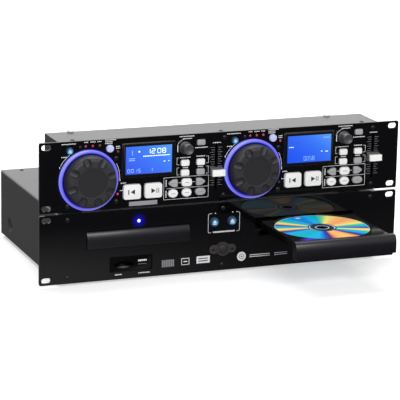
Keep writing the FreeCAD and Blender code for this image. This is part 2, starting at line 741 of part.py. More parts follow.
def pinion(x, shift):
    """The gear that drives a tray, turned to mesh with the rack where the tray stands."""
    base_radius = PITCH_RADIUS * math.cos(PRESSURE_ANGLE)
    tip_radius = PITCH_RADIUS + ADDENDUM
    root_radius = PITCH_RADIUS - DEDENDUM
    half_pitch = math.pi / (2 * PINION_TEETH) - BACKLASH / (2 * PITCH_RADIUS)
    half_base = half_pitch + involute(PRESSURE_ANGLE)
    flank = [(root_radius, half_base)]
    for radius in (base_radius, tip_radius):
        angle = math.acos(min(1.0, base_radius / radius))
        flank.append((radius, half_base - involute(angle)))
    turn = -shift / PITCH_RADIUS
    centre_x = x + PINION_OFFSET
    points = []
    for tooth in range(PINION_TEETH):
        middle = math.pi + turn + tooth * 2 * math.pi / PINION_TEETH
        outline = [(radius, middle - half) for radius, half in flank]
        outline = outline + [(radius, middle + half) for radius, half in reversed(flank)]
        for radius, angle in outline:
            tooth_x = centre_x + radius * math.cos(angle)
            tooth_y = PINION_Y + radius * math.sin(angle)
            points.append(Vector(tooth_x, tooth_y, PINION_Z))
    gear = extruded(points, Vector(0, 0, PINION_THICKNESS))
    top = PINION_Z + PINION_THICKNESS
    bore = rod_z(PINION_AXLE_RADIUS + SHAFT_GAP, centre_x, PINION_Y, PINION_Z - 1, top + 1)
    return gear.cut(bore)


def turntable(x):
    """The platter, hub and spindle that turn a disc, in their lowered place."""
    top = PLATTER_Z + PLATTER_THICKNESS
    spindle = rod_z(SPINDLE_RADIUS, x, SPINDLE_Y, MOTOR_TOP_Z - SPINDLE_LENGTH, PLATTER_Z)
    platter = faceted_rod_z(PLATTER_RADIUS, PLATTER_RADIUS, 2 * COARSE_SIDES, x, SPINDLE_Y, PLATTER_Z, top)
    hub_top = HUB_RADIUS - HUB_HEIGHT / 2
    hub = faceted_rod_z(HUB_RADIUS, hub_top, COARSE_SIDES, x, SPINDLE_Y, top, top + HUB_HEIGHT)
    return join([spindle, platter, hub])


def loader_frame(x):
    """The moulded frame under a tray: floor, walls, shelves, hold-downs, posts and seats."""
    y0 = FRAME_FRONT
    y1 = FRAME_REAR
    parts = [block(x - FRAME_OUTER, x + FRAME_OUTER, y0, y1, FRAME_UNDER_Z, FRAME_FLOOR_Z)]
    shelf_top = DECK_UNDER_Z - SLIDE_GAP
    hold_down_z = RIM_Z + SLIDE_GAP
    for side in (-1, 1):
        wall = sorted((x + side * FRAME_INNER, x + side * FRAME_OUTER))
        parts.append(block(wall[0], wall[1], y0, y1, FRAME_FLOOR_Z, FRAME_TOP_Z))
        shelf = sorted((x + side * (FRAME_INNER - SHELF_WIDTH), x + side * FRAME_INNER))
        parts.append(block(shelf[0], shelf[1], y0, y1, shelf_top - SHELF_THICKNESS, shelf_top))
        tab = sorted((x + side * (FRAME_INNER - HOLD_DOWN_WIDTH), x + side * FRAME_INNER))
        for y in (y0, (y0 + y1) / 2):
            parts.append(block(tab[0], tab[1], y, y + HOLD_DOWN_LENGTH, hold_down_z, FRAME_TOP_Z))
        for y in (y0 + POST_INSET, y1 - POST_INSET):
            post_x = x + side * (FRAME_OUTER - POST_INSET)
            half = POST_SIZE / 2
            post = block(post_x - half, post_x + half, y - half, y + half, FOOT_HEIGHT + SHEET, FRAME_UNDER_Z)
            parts.append(post)
    axle_x = x + PINION_OFFSET
    axle_top = PINION_Z + PINION_THICKNESS
    floor = FRAME_FLOOR_Z
    parts.append(faceted_rod_z(MOTOR_RADIUS, MOTOR_RADIUS, FINE_SIDES, x, SPINDLE_Y, floor, MOTOR_TOP_Z))
    boss_top = PINION_Z - SLIDE_GAP
    radius = PINION_BOSS_RADIUS
    parts.append(faceted_rod_z(radius, radius, COARSE_SIDES, axle_x, PINION_Y, floor, boss_top))
    parts.append(rod_z(PINION_AXLE_RADIUS, axle_x, PINION_Y, FRAME_FLOOR_Z, axle_top))
    frame = join(parts)
    socket_floor = MOTOR_TOP_Z - SPINDLE_LENGTH - SLIDE_GAP
    socket = rod_z(SPINDLE_RADIUS + SHAFT_GAP, x, SPINDLE_Y, socket_floor, MOTOR_TOP_Z + 1)
    return frame.cut(socket)


def clamp_bridge(x):
    """The bridge over a tray that carries the clamp above the turntable."""
    y0 = SPINDLE_Y - BRIDGE_LENGTH / 2
    y1 = SPINDLE_Y + BRIDGE_LENGTH / 2
    top = FRAME_TOP_Z + BRIDGE_THICKNESS
    plate = block(x - FRAME_OUTER, x + FRAME_OUTER, y0, y1, FRAME_TOP_Z, top)
    pad_z = RIM_Z + SLIDE_GAP
    cap_z = top + CLAMP_CAP_HEIGHT
    pad = faceted_rod_z(CLAMP_PAD_RADIUS, CLAMP_PAD_RADIUS, FINE_SIDES, x, SPINDLE_Y, pad_z, FRAME_TOP_Z)
    cap = faceted_rod_z(CLAMP_CAP_RADIUS, CLAMP_PAD_RADIUS, FINE_SIDES, x, SPINDLE_Y, top, cap_z)
    return join([plate, pad, cap])


# ---------------------------------------------------------------- panel inserts

def media_insert():
    """The insert with the card slot, its finger scoop and the key socket."""
    x = MEDIA_X
    z = DRIVE_Z + MEDIA_Z
    body = bar_y(x, z, MEDIA_WIDTH, MEDIA_HEIGHT, MEDIA_RECESS, MEDIA_RECESS + MEDIA_DEPTH)
    card_x = x + CARD_OFFSET_X
    card_z = z + CARD_OFFSET_Z
    card = bar_y(card_x, card_z, CARD_SLOT_WIDTH, CARD_SLOT_HEIGHT, 0, MEDIA_RECESS + CARD_SLOT_DEPTH)
    scoop = scoop_tool(card_x, card_z)
    usb_x = x + USB_OFFSET_X
    usb_z = z + USB_OFFSET_Z
    usb = bar_y(usb_x, usb_z, USB_WIDTH, USB_HEIGHT, 0, MEDIA_RECESS + USB_DEPTH)
    body = cut(body, [card, scoop, usb])
    tongue_z = usb_z + USB_HEIGHT / 2 - USB_TONGUE_HEIGHT / 2 - 0.6
    tongue_end = MEDIA_RECESS + USB_DEPTH
    tongue = bar_y(usb_x, tongue_z, USB_TONGUE_WIDTH, USB_TONGUE_HEIGHT, MEDIA_RECESS + 1, tongue_end)
    return join([body, tongue])


def scoop_tool(x, z):
    """An eye-shaped scoop that lets a fingertip reach the card."""
    half = SCOOP_WIDTH / 2
    rise = SCOOP_HEIGHT / 2
    y = MEDIA_RECESS
    left = Vector(x - half, y, z)
    right = Vector(x + half, y, z)
    upper = Part.Arc(left, Vector(x, y, z + rise), right).toShape()
    lower = Part.Arc(right, Vector(x, y, z - rise), left).toShape()
    return Part.Face(Part.Wire([upper, lower])).extrude(Vector(0, SCOOP_DEPTH, 0))


def power_bezel():
    """The moulded surround of the power key: a ring between two low wings, and its sleeve."""
    z = DRIVE_Z + POWER_Z
    bore = POWER_KEY_RADIUS + BUTTON_GAP
    wing = slot_along_x(0, z, BEZEL_WING_LENGTH, BEZEL_WING_HEIGHT, -BEZEL_WING_PROUD, 0)
    foot_ring = round_outline(0, z, BEZEL_RING_RADIUS, FINE_SIDES, 0)
    face_ring = round_outline(0, z, BEZEL_RING_RADIUS - BEZEL_DRAFT, FINE_SIDES, -BEZEL_RING_PROUD)
    sleeve_end = PANEL_THICKNESS + 2 * SHEET
    sleeve = faceted_rod_y(BEZEL_SLEEVE_RADIUS, FINE_SIDES, 0, z, 0, sleeve_end)
    hole = faceted_rod_y(bore, FINE_SIDES, 0, z, -BEZEL_RING_PROUD - 1, sleeve_end + 1)
    return join([wing, tapered(foot_ring, face_ring), sleeve]).cut(hole)


def power_key():
    """The latching power key, bevelled in front, with its stem behind."""
    z = DRIVE_Z + POWER_Z
    shoulder = -POWER_KEY_PROUD + POWER_KEY_BEVEL
    back = round_outline(0, z, POWER_KEY_RADIUS, FINE_SIDES, PANEL_THICKNESS + SHEET)
    edge = round_outline(0, z, POWER_KEY_RADIUS, FINE_SIDES, shoulder)
    face = round_outline(0, z, POWER_KEY_RADIUS - POWER_KEY_BEVEL, FINE_SIDES, -POWER_KEY_PROUD)
    return join([tapered(back, edge), tapered(edge, face)])


# ---------------------------------------------------------------- controller

def control_front_panel():
    """Front panel of the controller, with a hole or seat for every control."""
    tools = []
    for jog_x in JOG_XS:
        z = CONTROL_Z + JOG_Z
        bore = JOG_SHAFT_RADIUS + 2 * SLIDE_GAP
        tools.append(faceted_rod_y(bore, COARSE_SIDES, jog_x, z, -1, PANEL_THICKNESS + 1))
        search_x = jog_x + SEARCH_X
        search_z = CONTROL_Z + SEARCH_Z
        bore = SEARCH_SHAFT_RADIUS + 2 * SLIDE_GAP
        tools.append(faceted_rod_y(bore, COARSE_SIDES, search_x, search_z, -1, PANEL_THICKNESS + 1))
        slot_length = FADER_TRAVEL + FADER_STEM_HEIGHT + 2 * FADER_END_GAP
        fader_z = CONTROL_Z + FADER_Z
        tools.append(bar_y(jog_x + FADER_X, fader_z, FADER_SLOT_WIDTH, slot_length, -1, PANEL_THICKNESS + 1))
        display_x = jog_x + DISPLAY_X
        display_z = CONTROL_Z + DISPLAY_Z
        back = PANEL_THICKNESS + 1
        tools.append(bar_y(display_x, display_z, WINDOW_WIDTH, WINDOW_HEIGHT, -1, back))
        for name, kind, place, size, proud in key_plan():
            tools.append(key_hole(kind, jog_x + place[0], CONTROL_Z + place[1], size))
    return cut(panel_blank(CONTROL_Z), tools)


def control_case():
    """The shallow casing behind the controller panel, with lips that the panel screws to."""
    half = CONTROL_CASE_WIDTH / 2
    y0 = PANEL_THICKNESS
    y1 = CONTROL_CASE_DEPTH
    z0 = CONTROL_CASE_Z
    z1 = CONTROL_TOP_Z
    outer = block(-half, half, y0, y1, z0, z1)
    hollow = block(-half + SHEET, half - SHEET, y0 + SHEET, y1 - SHEET, z0 + SHEET, z1 - SHEET)
    inner = half - CASE_LIP
    window = block(-inner, inner, y0 - 1, y0 + 2 * SHEET, z0 + CASE_LIP, z1 - CASE_LIP)
    return cut(outer, [hollow, window])


def jog_wheel(jog_x, phase):
    """A jog wheel: a bevelled drum with a sunken centre, thumb scoops round its rim and a shaft."""
    z = CONTROL_Z + JOG_Z
    face = -JOG_LIFT - JOG_HEIGHT
    shoulder = face + JOG_BEVEL_AXIAL
    back_edge = round_outline(jog_x, z, JOG_RADIUS, JOG_SIDES, -JOG_LIFT)
    rim_edge = round_outline(jog_x, z, JOG_RADIUS, JOG_SIDES, shoulder)
    face_edge = round_outline(jog_x, z, JOG_RADIUS - JOG_BEVEL_RADIAL, JOG_SIDES, face)
    drum = join([tapered(back_edge, rim_edge), tapered(rim_edge, face_edge)])
    shaft = faceted_rod_y(JOG_SHAFT_RADIUS, COARSE_SIDES, jog_x, z, -JOG_LIFT, -JOG_LIFT + JOG_SHAFT_LENGTH)
    dish = faceted_rod_y(JOG_DISH_RADIUS, DISH_SIDES, jog_x, z, face - 1, face + JOG_DISH_DEPTH)
    scoops = []
    for number in range(DIMPLE_COUNT):
        angle = math.radians(phase + number * 360.0 / DIMPLE_COUNT)
        scoops.append(thumb_scoop(jog_x, z, face, angle))
    return cut(join([drum, shaft]), scoops + [dish])


def thumb_scoop(jog_x, z, face, angle):
    """A round-bottomed scoop that starts on the wheel's face and deepens to its rim."""
    outward = Vector(math.cos(angle), 0, math.sin(angle))
    along = outward * math.cos(DIMPLE_SLOPE) + Y_AXIS * math.sin(DIMPLE_SLOPE)
    lift = outward * math.sin(DIMPLE_SLOPE) - Y_AXIS * math.cos(DIMPLE_SLOPE)
    tip = Vector(jog_x, face, z) + outward * DIMPLE_START
    start = tip + lift * DIMPLE_RADIUS - along * DIMPLE_RADIUS
    return Part.makeCylinder(DIMPLE_RADIUS, JOG_RADIUS, start, along)


def light_ring(jog_x):
    """The clear ring that glows round a jog wheel, seated on the panel."""
    z = CONTROL_Z + JOG_Z
    inner = JOG_RADIUS + RING_GAP
    ring = faceted_rod_y(inner + RING_WIDTH, RING_SIDES, jog_x, z, -RING_PROUD, 0)
    return ring.cut(faceted_rod_y(inner, RING_SIDES, jog_x, z, -RING_PROUD - 1, 1))


def display_window(jog_x):
    """A raised display bezel with its window, held by a spigot through the panel."""
    x = jog_x + DISPLAY_X
    z = CONTROL_Z + DISPLAY_Z
    back = rounded_outline(x, z, DISPLAY_WIDTH, DISPLAY_HEIGHT, DISPLAY_CORNER, 2, 0)
    face_width = DISPLAY_WIDTH - 2 * DISPLAY_BEVEL
    face_height = DISPLAY_HEIGHT - 2 * DISPLAY_BEVEL
    front = rounded_outline(x, z, face_width, face_height, DISPLAY_CORNER, 2, -DISPLAY_PROUD)
    window = bar_y(x, z, WINDOW_WIDTH, WINDOW_HEIGHT, -DISPLAY_PROUD - 1, -DISPLAY_PROUD + WINDOW_DEPTH)
    spigot = bar_y(x, z, WINDOW_WIDTH, WINDOW_HEIGHT, 0, PANEL_THICKNESS + SHEET)
    return join([tapered(back, front).cut(window), spigot])


def search_knob(jog_x):
    """A track search knob: a round body on a wider skirt, with its shaft behind."""
    x = jog_x + SEARCH_X
    z = CONTROL_Z + SEARCH_Z
    end = -KNOB_LIFT - SEARCH_HEIGHT
    step = -KNOB_LIFT - SEARCH_SKIRT_HEIGHT
    body = faceted_rod_y(SEARCH_RADIUS, 2 * COARSE_SIDES, x, z, end, step)
    skirt = faceted_rod_y(SEARCH_SKIRT_RADIUS, 2 * COARSE_SIDES, x, z, step, -KNOB_LIFT)
    shaft_end = PANEL_THICKNESS + SEARCH_SHAFT_REACH
    shaft = faceted_rod_y(SEARCH_SHAFT_RADIUS, COARSE_SIDES, x, z, -KNOB_LIFT, shaft_end)
    return join([body, skirt, shaft])


def fader_knob(jog_x, rest):
    """A pitch fader knob: a flared skirt, a bar and the stem that passes through its slot."""
    x = jog_x + FADER_X
    z = CONTROL_Z + FADER_Z + rest
    skirt_y = -KNOB_LIFT - FADER_SKIRT_PROUD
    front_y = -KNOB_LIFT - FADER_KNOB_PROUD
    outline = (
        (-KNOB_LIFT, FADER_SKIRT_HEIGHT / 2),
        (skirt_y, FADER_KNOB_HEIGHT / 2),
        (front_y, FADER_KNOB_HEIGHT / 2),
        (front_y, -FADER_KNOB_HEIGHT / 2),
        (skirt_y, -FADER_KNOB_HEIGHT / 2),
        (-KNOB_LIFT, -FADER_SKIRT_HEIGHT / 2),
    )
    start = x - FADER_KNOB_WIDTH / 2
    knob = extruded([Vector(start, y, z + dz) for y, dz in outline], Vector(FADER_KNOB_WIDTH, 0, 0))
    stem = bar_y(x, z, FADER_STEM_WIDTH, FADER_STEM_HEIGHT, -KNOB_LIFT, PANEL_THICKNESS + FADER_STEM_LENGTH)
    return join([knob, stem])


# ---------------------------------------------------------------- feet and sockets

def foot(x, y, top):
    """A tapered rubber foot under a casing."""
    return faceted_rod_z(FOOT_RADIUS - FOOT_TAPER, FOOT_RADIUS, COARSE_SIDES, x, y, top - FOOT_HEIGHT, top)


def rubber_feet():
    """Four feet under the drive unit and four under the controller."""
    solids = []
    for side in (-1, 1):
        drive_x = side * (DRIVE_CASE_WIDTH / 2 - FOOT_INSET_X)
        for y in (PANEL_THICKNESS + DRIVE_FOOT_INSET_Y, DRIVE_CASE_DEPTH - DRIVE_FOOT_INSET_Y):
            solids.append(foot(drive_x, y, FOOT_HEIGHT))
        control_x = side * (CONTROL_CASE_WIDTH / 2 - FOOT_INSET_X)
        for y in (PANEL_THICKNESS + CONTROL_FOOT_INSET_Y, CONTROL_CASE_DEPTH - CONTROL_FOOT_INSET_Y):
            solids.append(foot(control_x, y, CONTROL_CASE_Z))
    return Part.makeCompound(solids)


def line_sockets(x, z, y):
    """Two pairs of line sockets on one plate."""
    half = LINE_SOCKET_SPACING / 2
    side = LINE_SOCKET_SPACING + 2 * LINE_PLATE_MARGIN
    front = y + LINE_PLATE
    pieces = [bar_y(x, z, side, side, y, front)]
    for column in (-1, 1):
        for row in (-1, 1):
            socket_x = x + column * half
            socket_z = z + row * half
            end = front + LINE_SOCKET_LENGTH
            pieces.append(faceted_rod_y(LINE_SOCKET_RADIUS, COARSE_SIDES, socket_x, socket_z, front, end))
    return join(pieces)


def link_socket(x, z, y):
    """The shelled socket of the cable that links the two units."""
    front = y + LINK_FLANGE
    flange = bar_y(x, z, LINK_FLANGE_WIDTH, LINK_FLANGE_HEIGHT, y, front)
    half = LINK_WIDTH / 2
    rise = LINK_HEIGHT / 2
    corners = ((-half, rise), (half, rise), (half - LINK_TAPER, -rise), (-half + LINK_TAPER, -rise))
    shell = extruded([Vector(x + dx, front, z + dz) for dx, dz in corners], Vector(0, LINK_PROUD, 0))
    return join([flange, shell])


def mains_inlet():
    """The mains inlet: a flanged shell with three blades."""
    z = DRIVE_Z + SOCKET_Z
    y = DRIVE_CASE_DEPTH
    front = y + INLET_FLANGE
    width = INLET_WIDTH + 2 * INLET_FLANGE_MARGIN
    height = INLET_HEIGHT + 2 * INLET_FLANGE_MARGIN
    flange = bar_y(INLET_X, z, width, height, y, front)
    shell = bar_y(INLET_X, z, INLET_WIDTH, INLET_HEIGHT, front - INLET_DEPTH - INLET_WALL, y)
    hollow_width = INLET_WIDTH - 2 * INLET_WALL
    hollow_height = INLET_HEIGHT - 2 * INLET_WALL
    hollow = bar_y(INLET_X, z, hollow_width, hollow_height, front - INLET_DEPTH, front + 1)
    blades = []
    floor = front - INLET_DEPTH
    for column, rise in ((-1, -INLET_PIN_RISE), (0, INLET_PIN_RISE), (1, -INLET_PIN_RISE)):
        blade_x = INLET_X + column * INLET_PIN_SPACING
        tip = floor + INLET_PIN_LENGTH
        blades.append(bar_y(blade_x, z + rise, INLET_PIN_WIDTH, INLET_PIN_HEIGHT, floor, tip))
    return join([join([flange, shell]).cut(hollow)] + blades)


def rear_sockets():
    """Line, link and mains sockets on the rear walls."""
    z = DRIVE_Z + SOCKET_Z
    solids = [
        line_sockets(LINE_SOCKET_X, z, DRIVE_CASE_DEPTH),
        link_socket(DRIVE_LINK_X, z, DRIVE_CASE_DEPTH),
        link_socket(CONTROL_LINK_X, CONTROL_Z + SOCKET_Z, CONTROL_CASE_DEPTH),
        mains_inlet(),
    ]
    return Part.makeCompound(solids)


# ---------------------------------------------------------------- all nodes

def build_nodes():
    """Every node of the unit by name."""
    nodes = {
        "drive_front_panel": drive_front_panel(),
        "drive_chassis": drive_chassis(),
        "drive_top_cover": drive_top_cover(),
        "controller_front_panel": control_front_panel(),
        "controller_case": control_case(),
        "loader_frames": Part.makeCompound(
            [loader_frame(x) for x in TRAY_XS] + [clamp_bridge(x) for x in TRAY_XS]
        ),
        "display_windows": Part.makeCompound([display_window(x) for x in JOG_XS]),
        "light_rings": Part.makeCompound([light_ring(x) for x in JOG_XS]),
        "panel_inserts": Part.makeCompound([media_insert(), power_bezel()]),
        "rubber_feet": rubber_feet(),
        "rear_sockets": rear_sockets(),
        "power_key": power_key(),
        "disc": disc(TRAY_XS[1], TRAY_SHIFTS[1]),
    }
    for number, side in enumerate(SIDES):
        tray_x = TRAY_XS[number]
        shift = TRAY_SHIFTS[number]
        jog_x = JOG_XS[number]
        nodes[side + "_tray"] = disc_tray(tray_x, shift)
        nodes[side + "_tray_fascia"] = tray_fascia(tray_x, shift)
        nodes[side + "_pinion"] = pinion(tray_x, shift)
        nodes[side + "_turntable"] = turntable(tray_x)
        nodes[side + "_jog_wheel"] = jog_wheel(jog_x, DIMPLE_PHASES[number])
        nodes[side + "_search_knob"] = search_knob(jog_x)
        nodes[side + "_fader_knob"] = fader_knob(jog_x, FADER_REST[number])
        key_x, key_z = open_key_places()[number]
        nodes[side + "_open_key"] = key("round", key_x, key_z, OPEN_KEY_RADIUS, OPEN_KEY_PROUD)
        for name, kind, place, size, proud in key_plan():
            nodes[side + "_" + name] = key(kind, jog_x + place[0], CONTROL_Z + place[1], size, proud)
    return nodes


def main():
    os.makedirs("parts", exist_ok=True)
    for name, shape in build_nodes().items():
        shape.translate(CENTRE_SHIFT)
        shape.exportStep("parts/" + name + ".step")


main()
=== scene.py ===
import json
import math
import bpy
from mathutils import Matrix, Vector


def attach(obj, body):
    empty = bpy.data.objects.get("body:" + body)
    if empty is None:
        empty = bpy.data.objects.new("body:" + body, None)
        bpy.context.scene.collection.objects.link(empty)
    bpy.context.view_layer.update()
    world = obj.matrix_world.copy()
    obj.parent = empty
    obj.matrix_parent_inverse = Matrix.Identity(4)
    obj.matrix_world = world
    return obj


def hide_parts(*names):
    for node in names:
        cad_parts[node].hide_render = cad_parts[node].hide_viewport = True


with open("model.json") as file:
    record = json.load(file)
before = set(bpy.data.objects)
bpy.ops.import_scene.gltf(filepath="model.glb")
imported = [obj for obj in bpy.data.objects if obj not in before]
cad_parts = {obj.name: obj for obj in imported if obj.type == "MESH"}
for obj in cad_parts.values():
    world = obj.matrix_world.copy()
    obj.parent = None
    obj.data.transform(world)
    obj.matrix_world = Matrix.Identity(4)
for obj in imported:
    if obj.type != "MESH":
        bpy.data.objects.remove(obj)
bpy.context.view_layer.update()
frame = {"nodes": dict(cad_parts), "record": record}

# Places and sizes are in mm in the object's frame, and MM turns them into Blender's metres.
# The distances inside the finishes are in metres.
MM = 0.001
PANEL_EDGE = -241.3
FRONT = -67.55
DRIVE_Z = 3.45
CONTROL_Z = 94.45
SIDES = ("left", "right")
JOG_XS = (-178.8, 37.7)
DECK_STEP = JOG_XS[1] - JOG_XS[0]
WHEEL_Z = CONTROL_Z + 38.6
RING_RADIUS = 37.8
KNOB_FROM_JOG = 126.0
KNOB_Z = CONTROL_Z + 71.3
SCOOPS = 8
SCOOP_STEP = 360.0 / SCOOPS
FIRST_SCOOP = 16.0
TWIN_TURN = 11.0
SCOOP_START = 24.9
TRAY_X = 112.55
TRAY_TRAVEL = 126.0
DISC_AT = (TRAY_X, -121.55)
DRIVE_LAMP = (-112.5, DRIVE_Z + 73.3)
LCD_MIDDLE = (78.0, CONTROL_Z + 59.5)
LCD_SIZE = (60.5, 35.0)
SOCKET_Z = 48.45
SCREW_X = 205.0
SCREW_LOW, SCREW_HIGH = 7.15, 80.95
WELD = 0.000002
GRAIN_DEPTH = 0.0002
BLUE_KEYS = {"left_open_button": (-12.0, DRIVE_Z + 64.0), "right_open_button": (12.0, DRIVE_Z + 64.0)}
for side, jog_x in zip(SIDES, JOG_XS):
    BLUE_KEYS[side + "_eject_key_button"] = (jog_x - 24.3, CONTROL_Z + 76.5)
DECK_KEYS = ["eject_key", "source_key", "menu_pad", "cue_key", "play_key"]
DECK_KEYS += ["mode_pad_%d" % number for number in range(1, 5)]
DECK_KEYS += ["loop_key_%d" % number for number in range(1, 7)]


# ------------------------------------------------------------------ bodies
def node_bodies():
    """The body that each node moves with."""
    bodies = frame["record"]["behaviour"]["bodies"]
    return {node: body for body, members in bodies.items() for node in members}


BODY_OF = node_bodies()


# ------------------------------------------------------------------ shader sums
def maths(operation, *terms):
    """One Math node on values and plain numbers, of which at least one is a Value."""
    wiring = next(term.wiring for term in terms if isinstance(term, Value))
    return wiring.node("ShaderNodeMath", {"operation": operation}, dict(enumerate(terms)))


class Value:
    """One output in a tree of nodes, on which plain sums can be written."""

    def __init__(self, wiring, socket):
        self.wiring = wiring
        self.socket = socket

    def __add__(self, other):
        return maths("ADD", self, other)

    def __radd__(self, other):
        return maths("ADD", other, self)

    def __sub__(self, other):
        return maths("SUBTRACT", self, other)

    def __rsub__(self, other):
        return maths("SUBTRACT", other, self)

    def __mul__(self, other):
        return maths("MULTIPLY", self, other)

    def __rmul__(self, other):
        return maths("MULTIPLY", other, self)

    def __truediv__(self, other):
        return maths("DIVIDE", self, other)

    def __pow__(self, other):
        return maths("POWER", self, other)

    def __abs__(self):
        return maths("ABSOLUTE", self)

    def above(self, limit):
        return maths("GREATER_THAN", self, limit)

    def below(self, limit):
        return maths("LESS_THAN", self, limit)

    def larger(self, other):
        return maths("MAXIMUM", self, other)

    def smaller(self, other):
        return maths("MINIMUM", self, other)

    def held(self):
        """Kept between 0 and 1."""
        return self.larger(0.0).smaller(1.0)


def distance(across, along):
    """How far a point is from a centre, by its two offsets."""
    return (across ** 2.0 + along ** 2.0) ** 0.5


def fade(away, reach):
    """1 at a centre, falling evenly to 0 at a reach."""
    return (1.0 - away / reach).larger(0.0)


class Wiring:
    """Makes and links the nodes of one tree."""

    def __init__(self, tree):
        self.tree = tree

    def put(self, socket, value):
        if isinstance(value, Value):
            self.tree.links.new(value.socket, socket)
        else:
            socket.default_value = value

    def node(self, kind, settings=None, values=None, output=0):
        made = self.tree.nodes.new(kind)
        for name, setting in (settings or {}).items():
            if name == "stops":
                stops = made.color_ramp.elements
                while len(stops) < len(setting):
                    stops.new(0.5)
                for stop, (place, colour) in zip(stops, setting):
                    stop.position = place
                    stop.color = colour
            else:
                setattr(made, name, setting)
        for key, value in (values or {}).items():
            self.put(made.inputs[key], value)
        return Value(self, made.outputs[output])

    def ray(self, kind):
        """1 for rays of one kind: Camera, Glossy or Transmission."""
        return self.node("ShaderNodeLightPath", output="Is %s Ray" % kind)


class Finish(Wiring):
    """One material with its own tree of nodes."""

    def __init__(self, name):
        self.material = bpy.data.materials.new(name)
        self.material.use_nodes = True
        super().__init__(self.material.node_tree)
        self.shader = self.tree.nodes["Principled BSDF"]
        self.seat = None

    def place(self):
        """Object coordinates, made once."""
        if self.seat is None:
            self.seat = self.node("ShaderNodeTexCoord", output="Object")
        return self.seat

    def axes(self):
        split = self.node("ShaderNodeSeparateXYZ", values={0: self.place()})
        return [Value(self, output) for output in split.socket.node.outputs]

    def noise(self, scale, detail=2.0, roughness=0.5, stretch=(1.0, 1.0, 1.0)):
        """Soft noise from 0 to 1."""
        spread = self.node("ShaderNodeMapping", values={"Vector": self.place(), "Scale": stretch})
        values = {"Vector": spread, "Scale": scale, "Detail": detail, "Roughness": roughness}
        return self.node("ShaderNodeTexNoise", values=values)

    def blend(self, mask, first, second):
        """The first colour where the mask is 0, and the second where it is 1."""
        settings = {"data_type": "RGBA", "clamp_factor": True}
        return self.node("ShaderNodeMix", settings, {0: mask, 6: first, 7: second}, 2)

    def ramp(self, mask, *stops):
        """Colours along a mask; a stop is its place and its three levels."""
        setting = [(place, tone(*levels)) for place, *levels in stops]
        return self.node("ShaderNodeValToRGB", {"stops": setting}, {0: mask})

    def bump(self, height, strength):
        values = {"Height": height, "Strength": strength, "Distance": GRAIN_DEPTH}
        self.put(self.shader.inputs["Normal"], self.node("ShaderNodeBump", values=values))

    def set(self, **values):
        for name, value in values.items():
            self.put(self.shader.inputs[SOCKETS[name]], value)


SOCKETS = {
    "colour": "Base Color",
    "rough": "Roughness",
    "metal": "Metallic",
    "gloss": "Specular IOR Level",
    "coat": "Coat Weight",
    "coat_rough": "Coat Roughness",
    "glow": "Emission Color",
    "glow_strength": "Emission Strength",
}


def tone(red, green, blue):
    """A colour given as 0 to 255 on a screen, as light."""
    parts = [level / 255.0 for level in (red, green, blue)]
    return tuple([p / 12.92 if p <= 0.04045 else ((p + 0.055) / 1.055) ** 2.4 for p in parts] + [1.0])


BLACK = (0.0, 0.0, 0.0, 1.0)


# ------------------------------------------------------------------ finishes
def gloss_panel():
    """Glossy black front panels with a faint ripple and fine dust, and painted light: the blue lamp's glow
    round it and a deep blue spill just outside each lit ring.
    """
    finish = Finish("gloss_panel")
    x, y, z = finish.axes()
    dust = finish.noise(2600.0, 3.0, 0.6)
    cloud = finish.noise(9.0, 3.0, 0.55)
    speck = dust.above(0.70) * 0.05
    base = finish.blend(cloud, tone(4, 4, 6), tone(8, 8, 11))
    finish.set(colour=finish.blend(speck, base, tone(90, 90, 95)))
    sunk = y.above(-0.0672)
    card_x, card_z = x + 0.1222, z - 0.02275
    recess = sunk * abs(card_x).below(0.0286) * abs(card_z).below(0.0101)
    finish.set(rough=0.03 + cloud * 0.04 + speck + recess * 0.8, gloss=0.5 - recess * 0.46)
    # Painted light: the lamp's blue glow and the lit rings' spill are painted onto the panel as emission.
    halo = fade(distance(x - DRIVE_LAMP[0] * MM, z - DRIVE_LAMP[1] * MM), 0.012) ** 2.2
    lit = finish.blend(halo, BLACK, tone(20, 10, 235))
    for jog_x in JOG_XS:
        past_ring = distance(x - jog_x * MM, z - WHEEL_Z * MM) - RING_RADIUS * MM
        lit = finish.blend(fade(past_ring, 0.0030).smaller(1.0) ** 1.5, lit, tone(4, 0, 96))
    finish.set(glow=finish.blend(sunk, lit, BLACK), glow_strength=1.0)
    finish.bump(finish.noise(420.0, 1.0), 0.02)
    return finish


def case_paint():
    """Dark powder paint with a fine grain and soft wear, glossier on the tops than on the sides, and painted
    lighter on the tops as painted light from above.
    """
    finish = Finish("case_paint")
    x, y, z = finish.axes()
    grain = finish.noise(3200.0, 2.0, 0.6)
    cloud = finish.noise(14.0, 4.0, 0.6)
    lower_side = abs(x).above(0.2125) * z.below(0.0890)
    upper_side = abs(x).above(0.2150) * z.above(0.0940) * z.below(0.1818)
    side = lower_side + upper_side
    # Painted light: the tops take a lighter tone than the sides, as if lit from above; the paint is the same
    # all over.
    top_painted_light = finish.blend(cloud, tone(82, 82, 84), tone(94, 94, 96))
    side_paint = finish.blend(cloud, tone(34, 34, 35), tone(41, 41, 42))
    finish.set(colour=finish.blend(side, top_painted_light, side_paint))
    finish.set(rough=0.34 + grain * 0.12 + cloud * 0.05 + side * 0.16)
    finish.set(coat=(0.35 + cloud * 0.1) * (1.0 - side), coat_rough=0.22)
    finish.bump(grain, 0.16)
    return finish


def chassis_paint():
    """The same paint, left flatter on the sides and the rear."""
    finish = Finish("chassis_paint")
    grain = finish.noise(2800.0, 2.0, 0.6)
    streak = finish.noise(40.0, 3.0, 0.6, (1.0, 1.0, 9.0))
    finish.set(colour=finish.blend(streak, tone(40, 40, 42), tone(50, 50, 52)))
    finish.set(rough=0.44 + grain * 0.16, gloss=0.25)
    finish.bump(grain, 0.12)
    return finish


